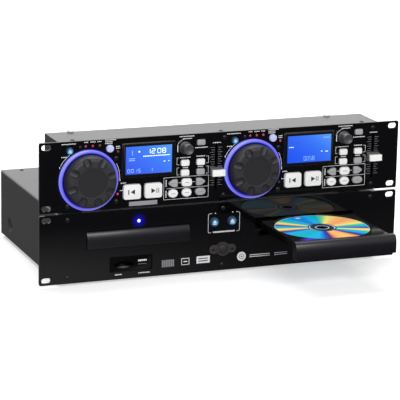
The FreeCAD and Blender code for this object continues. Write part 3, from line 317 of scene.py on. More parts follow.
def moulded(name, dark, light, rough, grain_scale=2400.0, grain_depth=0.10):
    """Moulded plastic: two close tones, a spark-eroded grain and a little unevenness."""
    finish = Finish(name)
    grain = finish.noise(grain_scale, 3.0, 0.6)
    cloud = finish.noise(26.0, 3.0, 0.55)
    finish.set(colour=finish.blend(cloud, tone(*dark), tone(*light)))
    finish.set(rough=rough + grain * 0.10 + cloud * 0.04)
    finish.bump(grain, grain_depth)
    return finish


def tray_plastic():
    """Polished black plastic with a painted violet gleam, a painted reflection of light, at the front of its
    well.
    """
    finish = Finish("tray_plastic")
    x, y, z = finish.axes()
    grain = finish.noise(2400.0, 3.0, 0.6)
    cloud = finish.noise(26.0, 3.0, 0.55)
    finish.set(colour=finish.blend(cloud, tone(9, 9, 12), tone(15, 15, 19)))
    finish.set(rough=0.07 + grain * 0.05, gloss=0.4)
    # Painted reflection: a violet glow at the front of the well.
    gleam = fade(distance((x - 0.0700) / 1.4, y + 0.1765), 0.0095)
    finish.set(glow=finish.blend(gleam, BLACK, tone(92, 60, 240)), glow_strength=1.0)
    finish.bump(grain, 0.03)
    return finish


def insert_plastic():
    """Black round the card slot, and a warmer dark grey round the power key, with a painted highlight on the
    lower lip of the card scoop.
    """
    finish = Finish("insert_plastic")
    x, y, z = finish.axes()
    grain = finish.noise(2600.0, 3.0, 0.6)
    bezel = x.above(-0.04)
    finish.set(colour=finish.blend(bezel, tone(4, 4, 5), tone(60, 57, 58)))
    finish.set(rough=0.42 + grain * 0.10 - bezel * 0.08, gloss=0.06)
    # Painted highlight: a soft grey glow on the lower lip of the card scoop.
    gleam = fade(distance((x + 0.1312) / 5.0, z - 0.0178), 0.0018)
    finish.set(glow=finish.blend(gleam, BLACK, tone(92, 92, 96)), glow_strength=1.0)
    finish.bump(grain, 0.05)
    return finish


# The spectrum goes round FAN_REPEATS times. One wave bunches it twice a turn and one once a turn.
FAN_TURN = math.radians(21.7)
FAN_REPEATS = 3.0
FAN_START = 1.83
FAN_TWICE, FAN_ONCE, FAN_LAG = 0.66, 0.10, 0.94
SPECTRUM = (
    (0.00, 84, 20, 96), (0.09, 16, 76, 186), (0.25, 24, 174, 238), (0.42, 12, 176, 190),
    (0.55, 110, 205, 140), (0.68, 246, 230, 128), (0.90, 246, 170, 104), (1.00, 84, 20, 96),
)


def disc_play_side():
    """A painted spectrum, the disc's rainbow reflection, that fans out from the spindle in wedges and glows,
    a painted white highlight near its back edge, and the clear hub with painted highlights along its rings.
    """
    finish = Finish("disc_play_side")
    x, y, z = finish.axes()
    east, north = x - DISC_AT[0] * MM, y - DISC_AT[1] * MM
    radius = distance(east, north)
    # Painted reflection: the rainbow is painted as a glowing spectrum, greyer in mirrors.
    turn = maths("ARCTAN2", north, east) + FAN_TURN
    order = FAN_REPEATS * turn / (2.0 * math.pi) + FAN_TWICE * maths("SINE", turn * 2.0)
    order = order - FAN_ONCE * maths("SINE", turn - FAN_LAG) + FAN_START
    fan = finish.ramp(maths("FRACT", order), *SPECTRUM)
    groove = finish.noise(1500.0, 2.0, 0.5)
    hub = radius.below(0.0185)
    sideways = (abs(east) / radius) ** 3.0
    # Painted highlights: bright lines along the hub's rings, the outer one only at its sides.
    outer_line = fade(abs(radius - 0.0160), 0.0014) * sideways
    line = outer_line.larger(fade(abs(radius - 0.0084), 0.0009))
    clear_ring = finish.blend(line, tone(28, 46, 72), tone(220, 230, 240))
    edge = radius.above(0.0587)
    data = finish.blend(edge * 0.6, fan, tone(150, 200, 200))
    # Painted highlight: a white glint near the back edge.
    gleam = fade(distance(x - 0.1017, y + 0.0707), 0.0055) ** 1.4
    dulled = finish.blend(finish.ray("Glossy") * 0.6, data, tone(84, 84, 76))
    bright = finish.blend(gleam, dulled, tone(255, 255, 255))
    finish.set(colour=finish.blend(hub, finish.blend(0.5, data, BLACK), clear_ring))
    hub_light = finish.blend(line, tone(18, 34, 54), tone(196, 212, 226))
    finish.set(glow=finish.blend(hub, bright, hub_light), glow_strength=0.86)
    finish.set(metal=0.25, rough=0.14 + groove * 0.06, coat=0.35, coat_rough=0.04)
    return finish


def from_wheel(finish):
    """Place about the nearer wheel's axis: across, up, radius, and 1 for the right wheel."""
    x, y, z = finish.axes()
    right = x.above(-0.07)
    across = x - (JOG_XS[0] * MM + right * DECK_STEP * MM)
    height = z - WHEEL_Z * MM
    return across, height, distance(across, height), right


def wheel_rubber():
    """Soft dark touch coating, deepest in the middle, with painted shade round the inner end of each thumb
    scoop.
    """
    finish = Finish("wheel_rubber")
    across, height, radius, right = from_wheel(finish)
    grain = finish.noise(2000.0, 3.0, 0.6)
    cloud = finish.noise(30.0, 3.0, 0.6)
    turn = maths("ARCTAN2", height, across)
    lobe = math.radians(SCOOP_STEP)
    start = turn - right * math.radians(TWIN_TURN) - math.radians(FIRST_SCOOP) + lobe / 2
    swing = maths("FLOORED_MODULO", start, lobe) - lobe / 2
    along = radius * maths("COSINE", swing)
    aside = radius * maths("SINE", swing)
    reach = distance((SCOOP_START * MM - along).larger(0.0), aside)
    inside = ((0.0315 - radius) / 0.004).held()
    # Painted shade: the steep inner end of each thumb scoop is darkened in the colour.
    scoop_shade = fade(abs(reach - 0.0045), 0.0014) * inside
    face = finish.blend(cloud, tone(33, 32, 36), tone(41, 40, 44))
    middle = finish.blend(radius.below(0.0183), face, tone(25, 25, 28))
    finish.set(colour=finish.blend(scoop_shade * 0.9, middle, tone(7, 6, 10)))
    finish.set(rough=0.46 + grain * 0.14 + scoop_shade * 0.3, gloss=0.35)
    finish.bump(grain, 0.10)
    return finish


def lit_ring():
    """Clear rings lit blue from behind: deep at both edges, palest at the upper left."""
    finish = Finish("lit_ring")
    across, height, radius, right = from_wheel(finish)
    lean = (height * 0.75 - across * 0.62) / (RING_RADIUS * MM)
    streak = finish.noise(160.0, 3.0, 0.6)
    lit = finish.ramp(lean * 0.5 + 0.5 + (streak - 0.5) * 0.3, (0.00, 128, 120, 224), (0.30, 116, 110, 230),
                      (0.58, 114, 116, 238), (0.80, 122, 128, 242), (1.00, 142, 148, 250))
    inner = ((0.0356 - radius) / 0.0016).held()
    outer = ((radius - 0.0370) / 0.0004).held()
    deep = finish.blend(inner, lit, tone(16, 10, 160))
    finish.set(colour=tone(20, 16, 96), rough=0.16 + streak * 0.1)
    finish.set(glow=finish.blend(outer * 0.5, deep, tone(172, 166, 255)), glow_strength=0.88)
    return finish


def lcd_glass():
    """Backlit blue glass, deeper at the lower left."""
    finish = Finish("lcd_glass")
    x, y, z = finish.axes()
    right = x.above(0.0)
    across = x - (JOG_XS[0] + 46.5 + right * DECK_STEP) * MM
    height = z - (CONTROL_Z + 42.4) * MM
    slope = across / (LCD_SIZE[0] * MM) * 0.55 + height / (LCD_SIZE[1] * MM) * 0.45
    cell = finish.noise(900.0, 1.0)
    lit = finish.ramp(slope + (cell - 0.5) * 0.05, (0.0, 60, 86, 234), (0.35, 62, 110, 246),
                      (0.7, 68, 132, 250), (1.0, 92, 162, 240))
    lit = finish.blend(right * (1.0 - slope) * 0.8, lit, tone(2, 84, 240))
    finish.set(colour=tone(10, 14, 60), glow=lit, glow_strength=0.97, rough=0.12 + cell * 0.05)
    return finish


def lamp(name, colour, core, strength):
    """A small lens lit from inside, a little uneven."""
    finish = Finish(name)
    spots = finish.noise(3000.0)
    mixed = finish.blend(spots, tone(*colour), tone(*core))
    finish.set(colour=mixed, glow=mixed, glow_strength=strength, rough=0.16 + spots * 0.10)
    return finish


def open_key_blue():
    """Blue keys lit from behind, bright in the middle and dark at the edge."""
    finish = Finish("open_key_blue")
    x, y, z = finish.axes()
    nearest = None
    for key_x, key_z in BLUE_KEYS.values():
        away = distance(x - (key_x + 0.8) * MM, z - (key_z - 0.6) * MM)
        nearest = away if nearest is None else nearest.smaller(away)
    cloud = finish.noise(600.0, 2.0)
    lit = finish.ramp(nearest / 0.0052 + (cloud - 0.5) * 0.12, (0.10, 104, 180, 216), (0.45, 54, 120, 162),
                      (0.80, 24, 68, 100), (1.00, 12, 38, 62))
    finish.set(colour=lit, glow=lit, glow_strength=0.52, rough=0.24 + cloud * 0.1)
    return finish


def fader_cap():
    """White caps with a smoky grey foot."""
    finish = Finish("fader_cap")
    x, y, z = finish.axes()
    grain = finish.noise(1800.0, 2.0)
    finish.set(colour=finish.blend(y.below(-0.0762), tone(112, 112, 118), tone(238, 238, 236)))
    finish.set(rough=0.30 + grain * 0.1)
    finish.bump(grain, 0.06)
    return finish


def socket_finish():
    """Black mouldings, plated shells, steel blades and coloured line sockets, told apart by place."""
    finish = Finish("socket_finish")
    x, y, z = finish.axes()
    up = z - SOCKET_Z * MM
    grain = finish.noise(1600.0, 2.0)
    line = x.below(-0.100)
    inlet = x.above(0.150) * z.below(0.090)
    upper = z.above(0.090)
    link = (1.0 - line) * (1.0 - inlet)
    bore = distance(abs(abs(x + 0.1200) - 0.008), abs(abs(up) - 0.008))
    line_end = line * y.above(0.1954)
    plate = line * y.below(0.1877)
    across = x - 0.030 - upper * 0.120
    height = up - upper * (CONTROL_Z - DRIVE_Z) * MM
    link_end = link * y.above(0.1927 - upper * 0.1921)
    core = link_end * abs(across).below(0.0108) * abs(height).below(0.0030)
    pin_pitch, blade_pitch = 0.00277, 0.007
    pin_step = maths("FLOORED_MODULO", across, pin_pitch) - pin_pitch / 2
    pin = core * (pin_step ** 2.0 + (abs(height) - 0.00142) ** 2.0).below(0.00000042)
    blade_step = maths("FLOORED_MODULO", x - 0.1665, blade_pitch) - blade_pitch / 2
    blade = inlet * abs(blade_step).below(0.00102) * abs(up).below(0.0042) * y.below(0.1835)
    metal = (link * (1.0 - core) + line * (1.0 - plate) * (1.0 - line_end)).larger(pin).larger(blade)
    metal = metal.larger(line_end * bore.above(0.0034))
    base = finish.blend(metal, tone(24, 24, 26), tone(168, 168, 172))
    ring = line_end * bore.above(0.0014) * bore.below(0.0034)
    line_colour = finish.blend(x.above(-0.120), tone(176, 26, 30), tone(226, 226, 222))
    finish.set(colour=finish.blend(ring, base, line_colour))
    finish.set(metal=metal * 0.85, rough=0.30 + grain * 0.15)
    finish.bump(grain, 0.05)
    return finish


def make_finishes():
    """Every finish, by the short name that dress is given."""
    finishes = {
        "panel": gloss_panel(),
        "case": case_paint(),
        "chassis": chassis_paint(),
        "frame": moulded("frame_plastic", (20, 20, 22), (30, 30, 32), 0.42),
        "tray": tray_plastic(),
        "fascia": moulded("fascia_plastic", (9, 9, 15), (13, 13, 20), 0.26, 3000.0, 0.04),
        "gear": moulded("gear_plastic", (214, 210, 196), (226, 222, 208), 0.42),
        "platter": moulded("platter_plastic", (36, 36, 38), (48, 48, 50), 0.45),
        "disc": disc_play_side(),
        "wheel": wheel_rubber(),
        "ring": lit_ring(),
        "lcd": lcd_glass(),
        "bezel": moulded("bezel_gloss", (8, 8, 10), (14, 14, 17), 0.10, 2600.0, 0.02),
        "insert": insert_plastic(),
        "knob": moulded("knob_rubber", (52, 52, 54), (68, 68, 70), 0.32),
        "fader": fader_cap(),
        "white": moulded("white_plastic", (226, 226, 224), (238, 238, 237), 0.30, 2200.0, 0.04),
        "lit_white": lamp("lit_white", (166, 170, 212), (186, 190, 226), 0.28),
        "grey": moulded("grey_plastic", (150, 150, 152), (166, 166, 168), 0.34, 2200.0, 0.04),
        "blue": open_key_blue(),
        "power": moulded("power_plastic", (26, 26, 28), (38, 38, 40), 0.34),
        "rubber": moulded("foot_rubber", (20, 20, 20), (30, 30, 30), 0.62, 1400.0, 0.2),
        "socket": socket_finish(),
        "ink": moulded("white_ink", (214, 214, 218), (230, 230, 232), 0.40, 3000.0, 0.02),
        "grey_ink": moulded("grey_ink", (118, 118, 122), (134, 134, 138), 0.40, 3000.0, 0.02),
        "dim_ink": moulded("dim_ink", (112, 112, 116), (130, 130, 134), 0.40, 3000.0, 0.02),
        "dark_ink": moulded("dark_ink", (22, 22, 24), (34, 34, 36), 0.40, 3000.0, 0.02),
        "silver": moulded("silver_plate", (128, 130, 134), (190, 192, 196), 0.30, 600.0, 0.10),
        "screw": moulded("screw_black", (26, 26, 28), (40, 40, 42), 0.24, 1400.0, 0.06),
        "red": lamp("red_lamp", (110, 18, 36), (198, 70, 96), 0.5),
        "amber": lamp("amber_lamp", (70, 28, 22), (120, 62, 48), 0.4),
        "dead": moulded("dead_lens", (30, 30, 36), (46, 46, 54), 0.18, 2000.0, 0.03),
        "blue_lamp": lamp("blue_lamp", (190, 196, 255), (240, 242, 255), 1.2),
        "faint_mark": lamp("faint_mark", (112, 156, 250), (140, 180, 252), 1.0),
        "pale_mark": lamp("pale_mark", (186, 214, 252), (226, 240, 255), 1.0),
    }
    finishes["fascia"].set(gloss=0.38)
    finishes["silver"].set(metal=0.3)
    finishes["screw"].set(metal=0.6)
    return finishes


FINISHES = make_finishes()


# ------------------------------------------------------------------ modelling
def clear():
    """Leaves nothing selected."""
    bpy.ops.object.select_all(action="DESELECT")


def settle(name):
    """Names the new object and puts its place, turn and scale into its mesh."""
    piece = bpy.context.active_object
    piece.name = name
    piece.data.name = name
    bpy.ops.object.transform_apply(location=True, rotation=True, scale=True)
    return piece


def only(piece):
    """Selects one piece and makes it the active one."""
    clear()
    piece.select_set(True)
    bpy.context.view_layer.objects.active = piece


def edit(piece):
    """Opens a piece for editing, with all of it selected."""
    only(piece)
    bpy.ops.object.mode_set(mode="EDIT")
    bpy.ops.mesh.select_all(action="SELECT")


def leave():
    bpy.ops.object.mode_set(mode="OBJECT")


def leave_outward():
    """Points every face outwards and ends the editing."""
    bpy.ops.mesh.select_all(action="SELECT")
    bpy.ops.mesh.normals_make_consistent(inside=False)
    leave()


def dress(piece, finish, body):
    """Gives a piece its finish and the body that it moves with."""
    piece.data.materials.clear()
    piece.data.materials.append(FINISHES[finish].material)
    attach(piece, body)


def stand_in(piece, finish, node):
    """Dresses a piece as a node and hides that node, so that the piece shows in its place."""
    dress(piece, finish, BODY_OF[node])
    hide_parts(node)


def stand_in_pair(left, right, finish, node):
    """Dresses a piece and its twin as the nodes of both sides."""
    for side, piece in zip(SIDES, (left, right)):
        stand_in(piece, finish, side + node)


def smooth(piece, degrees=35.0):
    """Smooth shading, with edges sharper than this left crisp."""
    only(piece)
    bpy.ops.object.shade_smooth_by_angle(angle=math.radians(degrees))


def bevel(piece, width, segments, degrees):
    """Rounds every edge that turns by more than this."""
    only(piece)
    soft = piece.modifiers.new("soft_edge", "BEVEL")
    soft.width = width * MM
    soft.segments = segments
    soft.limit_method = "ANGLE"
    soft.angle_limit = math.radians(degrees)
    bpy.ops.object.modifier_apply(modifier=soft.name)


def refined(node, finish, edge):
    """A smooth copy of a node, with its edges softened, that stands for it."""
    piece = bpy.data.objects.new(node + "_skin", frame["nodes"][node].data.copy())
    bpy.context.scene.collection.objects.link(piece)
    edit(piece)
    bpy.ops.mesh.remove_doubles(threshold=WELD)
    bpy.ops.mesh.dissolve_limited(angle_limit=math.radians(0.5))
    leave()
    if edge:
        bevel(piece, edge, 2, 30.0)
    smooth(piece)
    stand_in(piece, finish, node)


def at(x, y, z):
    """A move to a place in mm."""
    return Matrix.Translation((x * MM, y * MM, z * MM))


def slab(name, low, high, edge, segments=2):
    """A block between two corners with its edges rounded."""
    clear()
    middle = [(a + b) / 2 * MM for a, b in zip(low, high)]
    size = [(b - a) * MM for a, b in zip(low, high)]
    bpy.ops.mesh.primitive_cube_add(size=1, location=middle, scale=size)
    piece = settle(name)
    edit(piece)
    bpy.ops.mesh.bevel(offset=edge * MM, segments=segments, affect="EDGES")
    leave()
    return piece


def drawn_out(name, x, z, rings, sides, fill):
    """A circle drawn out through rings of (radius, Y), left open for editing."""
    clear()
    radius, depth = rings[0]
    bpy.ops.mesh.primitive_circle_add(vertices=sides, radius=radius * MM, fill_type=fill,
                                      location=(x * MM, depth * MM, z * MM), rotation=(math.pi / 2, 0, 0))
    piece = settle(name)
    edit(piece)
    for next_radius, next_depth in rings[1:]:
        step = (0, (next_depth - depth) * MM, 0)
        bpy.ops.mesh.extrude_region_move(TRANSFORM_OT_translate={"value": step})
        scale = next_radius / radius
        middle = (x * MM, next_depth * MM, z * MM)
        bpy.ops.transform.resize(value=(scale, 1, scale), center_override=middle)
        radius, depth = next_radius, next_depth
    return piece


def turned(name, x, z, profile, sides):
    """A round piece that points out of the front; the profile is (radius, Y) from the back."""
    piece = drawn_out(name, x, z, profile, sides, "NGON")
    leave_outward()
    return piece


def looped(name, x, z, profile, sides):
    """A round piece with a hole through it; the profile goes once round its section."""
    piece = drawn_out(name, x, z, profile + profile[:1], sides, "NOTHING")
    bpy.ops.mesh.select_all(action="SELECT")
    bpy.ops.mesh.remove_doubles(threshold=WELD)
    leave_outward()
    return piece


def carve(piece, tool):
    """Takes one piece away from another."""
    only(piece)
    cut = piece.modifiers.new("carve", "BOOLEAN")
    cut.operation = "DIFFERENCE"
    cut.object = tool
    cut.solver = "EXACT"
    bpy.ops.object.modifier_apply(modifier=cut.name)
    gone(tool)


def even_normals(piece, degrees):
    """Smooth shading that keeps flat faces flat."""
    smooth(piece, degrees)
    even = piece.modifiers.new("even", "WEIGHTED_NORMAL")
    even.keep_sharp = True
    bpy.ops.object.modifier_apply(modifier=even.name)


def copied(piece, name, matrix):
    """A copy with its own mesh, moved in its mesh."""
    twin = bpy.data.objects.new(name, piece.data.copy())
    twin.data.transform(matrix)
    bpy.context.scene.collection.objects.link(twin)
    return twin


def joined(name, pieces):
    """Several pieces made one."""
    only(pieces[0])
    for piece in pieces:
        piece.select_set(True)
    bpy.ops.object.join()
    whole = bpy.context.active_object
    whole.name = name
    whole.data.name = name
    return whole


def gone(piece):
    bpy.data.objects.remove(piece)


# ------------------------------------------------------------------ printed marks
class Print:
    """Thin bars of ink on one face, gathered and then joined to a single piece."""

    def __init__(self, back, proud=0.03):
        self.back = back
        self.proud = proud
        self.bars = []
        self.seed = slab("bar", (-0.5, -0.5, -0.5), (0.5, 0.5, 0.5), 0.02, 1)

    def bar(self, x, z, width, height, turn=0.0):
        move = at(x, self.back - self.proud / 2, z)
        swing = Matrix.Rotation(math.radians(-turn), 4, "Y")
        size = Matrix.Diagonal((width, self.proud, height, 1.0))
        self.bars.append(copied(self.seed, "bar", move @ swing @ size))

    def span(self, x0, x1, z0, z1):
        self.bar((x0 + x1) / 2, (z0 + z1) / 2, abs(x1 - x0), abs(z1 - z0))

    def level(self, x0, x1, z, thick):
        self.span(x0, x1, z - thick / 2, z + thick / 2)

    def upright(self, x, z0, z1, thick):
        self.span(x - thick / 2, x + thick / 2, z0, z1)

    def box(self, x0, x1, z0, z1, thick):
        for z in (z0, z1):
            self.level(x0 - thick / 2, x1 + thick / 2, z, thick)
        for x in (x0, x1):
            self.upright(x, z0, z1, thick)

    def caption(self, x0, x1, z, height=1.15):
        """Short strokes side by side where the real panel has small words."""
        x = x0
        step = 0
        widths = (1.0, 0.7, 1.3, 0.8, 1.1)
        gap, shortest = 0.45, 0.3
        while x < x1:
            width = min(widths[step % len(widths)], x1 - x)
            if width > shortest:
                self.level(x, x + width, z, height)
            x += width + gap
            step += 1

    def arc(self, x, z, radius, start, stop, thick, steps=12):
        """Bars along an arc, each a little long so that they meet."""
        for number in range(steps):
            angle = math.radians(start + (stop - start) * (number + 0.5) / steps)
            length = radius * math.radians(abs(stop - start)) / steps * 1.06
            place = (x + radius * math.cos(angle), z + radius * math.sin(angle))
            self.bar(*place, length, thick, math.degrees(angle) + 90.0)

    def done(self, name, finish, body="unit"):
        """Joins the bars and dresses them; most lie on the black front panels."""
        piece = joined(name, self.bars)
        gone(self.seed)
        dress(piece, finish, body)


SEGMENTS = {
    "top": (0.5, 1.0, True), "middle": (0.5, 0.5, True), "foot": (0.5, 0.0, True),
    "upper_left": (0.0, 0.75, False), "upper_right": (1.0, 0.75, False),
    "lower_left": (0.0, 0.25, False), "lower_right": (1.0, 0.25, False),
}
DIGITS = {
    "0": ("top", "foot", "upper_left", "upper_right", "lower_left", "lower_right"),
    "1": ("upper_right", "lower_right"),
    "2": ("top", "upper_right", "middle", "lower_left", "foot"),
    "5": ("top", "upper_left", "middle", "lower_right", "foot"),
    "8": ("top", "middle", "foot", "upper_left", "upper_right", "lower_left", "lower_right"),
}


def digits(ink, text, x, z, step, width, height, thick):
    """A plain number in segments, with the digits' left sides a step apart."""
    for place, value in enumerate(text):
        for name in DIGITS[value]:
            across, up, flat = SEGMENTS[name]
            middle_x = x + place * step + width * across
            if flat:
                ink.bar(middle_x, z + height * up, width - thick * 0.6, thick)
            else:
                ink.bar(middle_x, z + height * up, thick, height / 2 - thick * 0.6)


def seen(x, z):
    """Places read from the panels' lower left corner."""
    return x + PANEL_EDGE, z + DRIVE_Z


# The captions of one deck: left end, right end and height from the panels' lower left corner.
DECK_CAPTIONS = (
    (28, 46, 176), (28, 35, 160), (57, 62, 177), (65, 72, 177), (74, 79, 177), (84, 98, 178.2),
    (84, 94, 176), (84, 94, 173.9), (98, 103, 169.4), (98, 103, 167.2), (104.5, 111.5, 122.7),
    (103.5, 108, 113.5), (181, 201, 176.5), (185.5, 197.5, 173.6), (202, 219, 161.2), (182, 196, 149.7),
    (204, 215, 150.3), (186, 193, 136.8), (206, 213, 137.0), (225.5, 236, 166),
)


def deck_print(side, jog_x):
    """White lines, ticks and captions around one deck."""
    ink = Print(FRONT)
    shift = jog_x - JOG_XS[0]
    for x0, x1, z in DECK_CAPTIONS:
        start, level = seen(x0, z)
        stop, level = seen(x1, z)
        ink.caption(start + shift, stop + shift, level)
    thin = 0.4
    left = seen(178.0, 128.0)[0] + shift
    for x, inward in ((left, 3.0), (left + 42.0, -3.0)):
        for top, foot in ((149.7, 141.0), (137.0, 128.0)):
            ink.upright(x, foot + DRIVE_Z, top + DRIVE_Z, thin)
            for end in (top, foot):
                ink.level(x, x + inward, end + DRIVE_Z, thin)
    x0, x1 = jog_x + 98.5, jog_x + 158.0
    ink.box(x0, x1, CONTROL_Z + 6.4, CONTROL_Z + 34.4, thin)
    ink.level(x0 + 4.0, x1, CONTROL_Z + 20.4, thin)
    for z in (13.4, 27.4):
        for number in range(5):
            ink.level(x0 + 2.4, x0 + 3.8, CONTROL_Z + z - 3.6 + number * 1.8, 1.2)
    for x in (jog_x + 119.6, jog_x + 138.0):
        ink.level(x - 1.7, x + 1.7, CONTROL_Z + 27.0, 0.5)
    for start, stop in ((152.5, 123.0), (27.0, -2.5)):
        ink.arc(jog_x, WHEEL_Z, 40.6, start, stop, 0.5)
    ink.bar(jog_x - 36.6, WHEEL_Z + 17.6, 2.4, 0.9, 100.0)
    ink.bar(jog_x + 41.0, WHEEL_Z - 2.6, 2.4, 0.9, 85.0)
    ink.arc(jog_x + KNOB_FROM_JOG, KNOB_Z, 10.6, 165.0, 95.0, 0.5, 8)
    ink.span(jog_x + 115.8, jog_x + 116.8, CONTROL_Z + 66.0, CONTROL_Z + 75.0)
    ink.done(side + "_deck_print", "ink")


def fader_ticks(side, jog_x):
    """Two rows of dim ticks beside a fader slot."""
    ink = Print(FRONT)
    middle = jog_x + 167.8
    for number in range(17):
        z = CONTROL_Z + 21.0 + number * 3.0
        short = number % 2 * 1.8
        ink.level(middle - 8.3 + short, middle - 2.2, z, 0.44)
        ink.level(middle + 2.4, middle + 8.0 - short, z, 0.44)
    ink.done(side + "_fader_ticks", "dim_ink")


def drive_print():
    """A bracket round the open keys, two dots and three captions on the lower panel."""
    ink = Print(FRONT)
    thick = 0.5
    x0, z0 = seen(221.5, 50.0)
    x1, z1 = seen(264.0, 75.0)
    for x, inward in ((x0, 1.0), (x1, -1.0)):
        ink.upright(x, z0 + 1.5, z1 - 1.5, thick)
        ink.bar(x + inward * 0.75, z0 + 0.75, 2.2, thick, -45.0 * inward)
        ink.bar(x + inward * 0.75, z1 - 0.75, 2.2, thick, 45.0 * inward)
        ink.level(x + inward * 1.5, x + inward * 5, z1, thick)
        ink.level(x + inward * 1.5, x + inward * 4, z0, thick)
    for place in (231.0, 254.5):
        ink.bar(*seen(place, 75.0), 1.2, 1.2)
    captions = ((228.0, 257.5, 50.5, 1.9), (98.0, 107.0, 6.0, 1.5), (129.0, 144.0, 6.0, 1.5))
    for start, stop, z, height in captions:
        left, level = seen(start, z)
        right, level = seen(stop, z)
        ink.caption(left, right, level, height)
    ink.done("drive_print", "ink")


def badges():
    """Plain shapes without letters in the row of badge places."""
    x0, z0 = seen(160.0, 10.5)
    block = Print(FRONT)
    for number in range(7):
        block.span(x0 + number * 2.4, x0 + number * 2.4 + 1.9, z0, z0 + 9.2)
    block.done("block_badge", "grey_ink")
    ink = Print(FRONT)
    x0, z0 = seen(191.5, 15.5)
    ink.box(x0 - 5.0, x0 + 5.0, z0 - 4.0, z0 + 4.0, 0.8)
    ink.bar(x0, z0, 5.0, 1.4)
    for place, width in ((293.0, 28.0), (322.0, 18.0)):
        x0, z0 = seen(place, 15.5)
        for rise in (1.2, -1.2):
            ink.bar(x0, z0 + rise, width, 1.0)
    ink.done("badges", "ink")


def plate_badge():
    """A pale oblong with two dark bars."""
    x0, z0 = seen(215.5, 16.0)
    plate = Print(FRONT)
    plate.span(x0 - 9.0, x0 + 9.0, z0 - 4.6, z0 + 4.6)
    plate.done("plate_badge", "ink")
    bars = Print(FRONT - 0.035)
    bars.bar(x0, z0 + 1.6, 13.0, 1.3)
    bars.bar(x0, z0 - 1.6, 13.0, 1.3)
    bars.done("plate_badge_bars", "dark_ink")


def round_badge():
    """A pale round with a dark ring and a dark dot."""
    x0, z0 = seen(267.8, 15.8)
    piece = turned("round_badge", x0, z0, [(6.0, FRONT), (6.0, FRONT - 0.03), (5.6, FRONT - 0.035)], 40)
    dress(piece, "ink", "unit")
    inner = Print(FRONT - 0.035)
    inner.arc(x0, z0, 3.3, 0.0, 360.0, 0.7, 20)
    inner.bar(x0, z0, 2.0, 2.0)
    inner.done("round_badge_bars", "dark_ink")


def key_marks(side, jog_x):
    """Dark symbols on the two large keys, and small marks on the loop keys."""
    z = CONTROL_Z + 20.1
    for key, x, way in (("cue_key", jog_x + 56.4, -1.0), ("play_key", jog_x + 84.3, 1.0)):
        body = "%s_%s_button" % (side, key)
        ink = Print(FRONT - 3.0)
        point = x - way * 2.0
        for number in range(7):
            ink.bar(point + way * (number * 0.75 - 0.8), z, 0.8, 6.0 * (1.0 - number / 7.0))
        if key == "cue_key":
            ink.span(x - 5.6, x - 4.2, z - 3.0, z + 3.0)
        ink.done("%s_%s_mark" % (side, key), "dark_ink", body)
        if key == "play_key":
            bars = Print(FRONT - 3.0)
            bars.span(x + 3.4, x + 4.6, z - 3.0, z + 3.0)
            bars.span(x + 5.8, x + 7.0, z - 3.0, z + 3.0)
            bars.done(side + "_pause_bars", "grey_ink", body)
    places = [(jog_x + column, CONTROL_Z + row) for row in (27.0, 14.1) for column in (110.6, 128.7, 147.1)]
    for number, (x, z) in enumerate(places, 1):
        ink = Print(FRONT - 2.0)
        ink.caption(x - 2.6, x + 2.6, z, 1.1)
        body = "%s_loop_key_%d_button" % (side, number)
        ink.done("%s_loop_mark_%d" % (side, number), "grey_ink", body)


def eject_marks():
    """White eject symbols on the four blue keys."""
    for body, (x, z) in BLUE_KEYS.items():
        size = 1.0 if "open" in body else 0.72
        ink = Print(FRONT - 2.5)
        for number in range(6):
            ink.bar(x, z - 0.8 + number * 0.62 * size, 5.4 * size * (1.0 - number / 6.0), 0.7 * size)
        ink.bar(x, z - 2.3 * size - 0.3, 5.4 * size, 0.9 * size)
        ink.done(body + "_symbol", "ink", body)


def lcd(side, jog_x):
    """The lit glass in its window, and the segments on it."""
    wide, tall = LCD_SIZE
    x = jog_x + LCD_MIDDLE[0] - wide / 2
    z = LCD_MIDDLE[1] - tall / 2
    floor = FRONT - 1.8 + 0.8
    face = floor - 0.45
    glass = slab(side + "_lcd_glass", (x + 0.1, face, z + 0.1), (x + wide - 0.1, floor, z + tall - 0.1), 0.15)
    dress(glass, "lcd", "unit")
    ink = Print(face, 0.02)
    faint = Print(face, 0.02)
    if side == "left":
        for text, start in (("12", 27.5), ("08", 41.5)):
            digits(ink, text, x + start, z + 25.3, 6.4, 4.2, 5.6, 0.85)
        ink.caption(x + 22.5, x + 57.5, z + 22.2, 1.2)
        ink.bar(x + 17.5, z + 28.2, 2.0, 2.0)
        faint.caption(x + 4.0, x + 12.0, z + 20.0, 1.0)
        faint.caption(x + 4.0, x + 12.0, z + 17.6, 1.0)
        faint.span(x + 8.2, x + 8.8, z + 24.0, z + 30.0)
        digits(faint, "0015", x + 2.6, z + 2.4, 4.6, 2.8, 4.2, 0.5)
        digits(faint, "1", x + 32.0, z + 2.4, 4.6, 2.8, 4.2, 0.5)
        ink.bar(x + 50.5, z + 14.4, 2.4, 0.9)
        ink.bar(x + 56.5, z + 14.6, 1.4, 0.9)
    else:
        ink.caption(x + 2.0, x + 8.5, z + 20.5, 0.9)
        ink.bar(x + 47.5, z + 13.2, 1.6, 1.0)
        ink.bar(x + 54.5, z + 12.8, 3.6, 1.0)
        digits(faint, "0058", x + 23.0, z + 2.6, 4.0, 2.4, 5.0, 0.4)
        faint.caption(x + 49.5, x + 58.0, z + 31.0, 0.8)
    ink.done(side + "_lcd_segments", "pale_mark", "unit")
    faint.done(side + "_lcd_faint_segments", "faint_mark", "unit")


def lens(name, x, z, radius, proud, finish):
    """A small domed lens set into the front panel."""
    profile = [(radius, FRONT + 0.8), (radius, FRONT - proud * 0.35), (radius * 0.86, FRONT - proud * 0.75),
               (radius * 0.55, FRONT - proud * 0.95), (radius * 0.2, FRONT - proud)]
    piece = turned(name, x, z, profile, 24)
    smooth(piece, 60.0)
    dress(piece, finish, "unit")


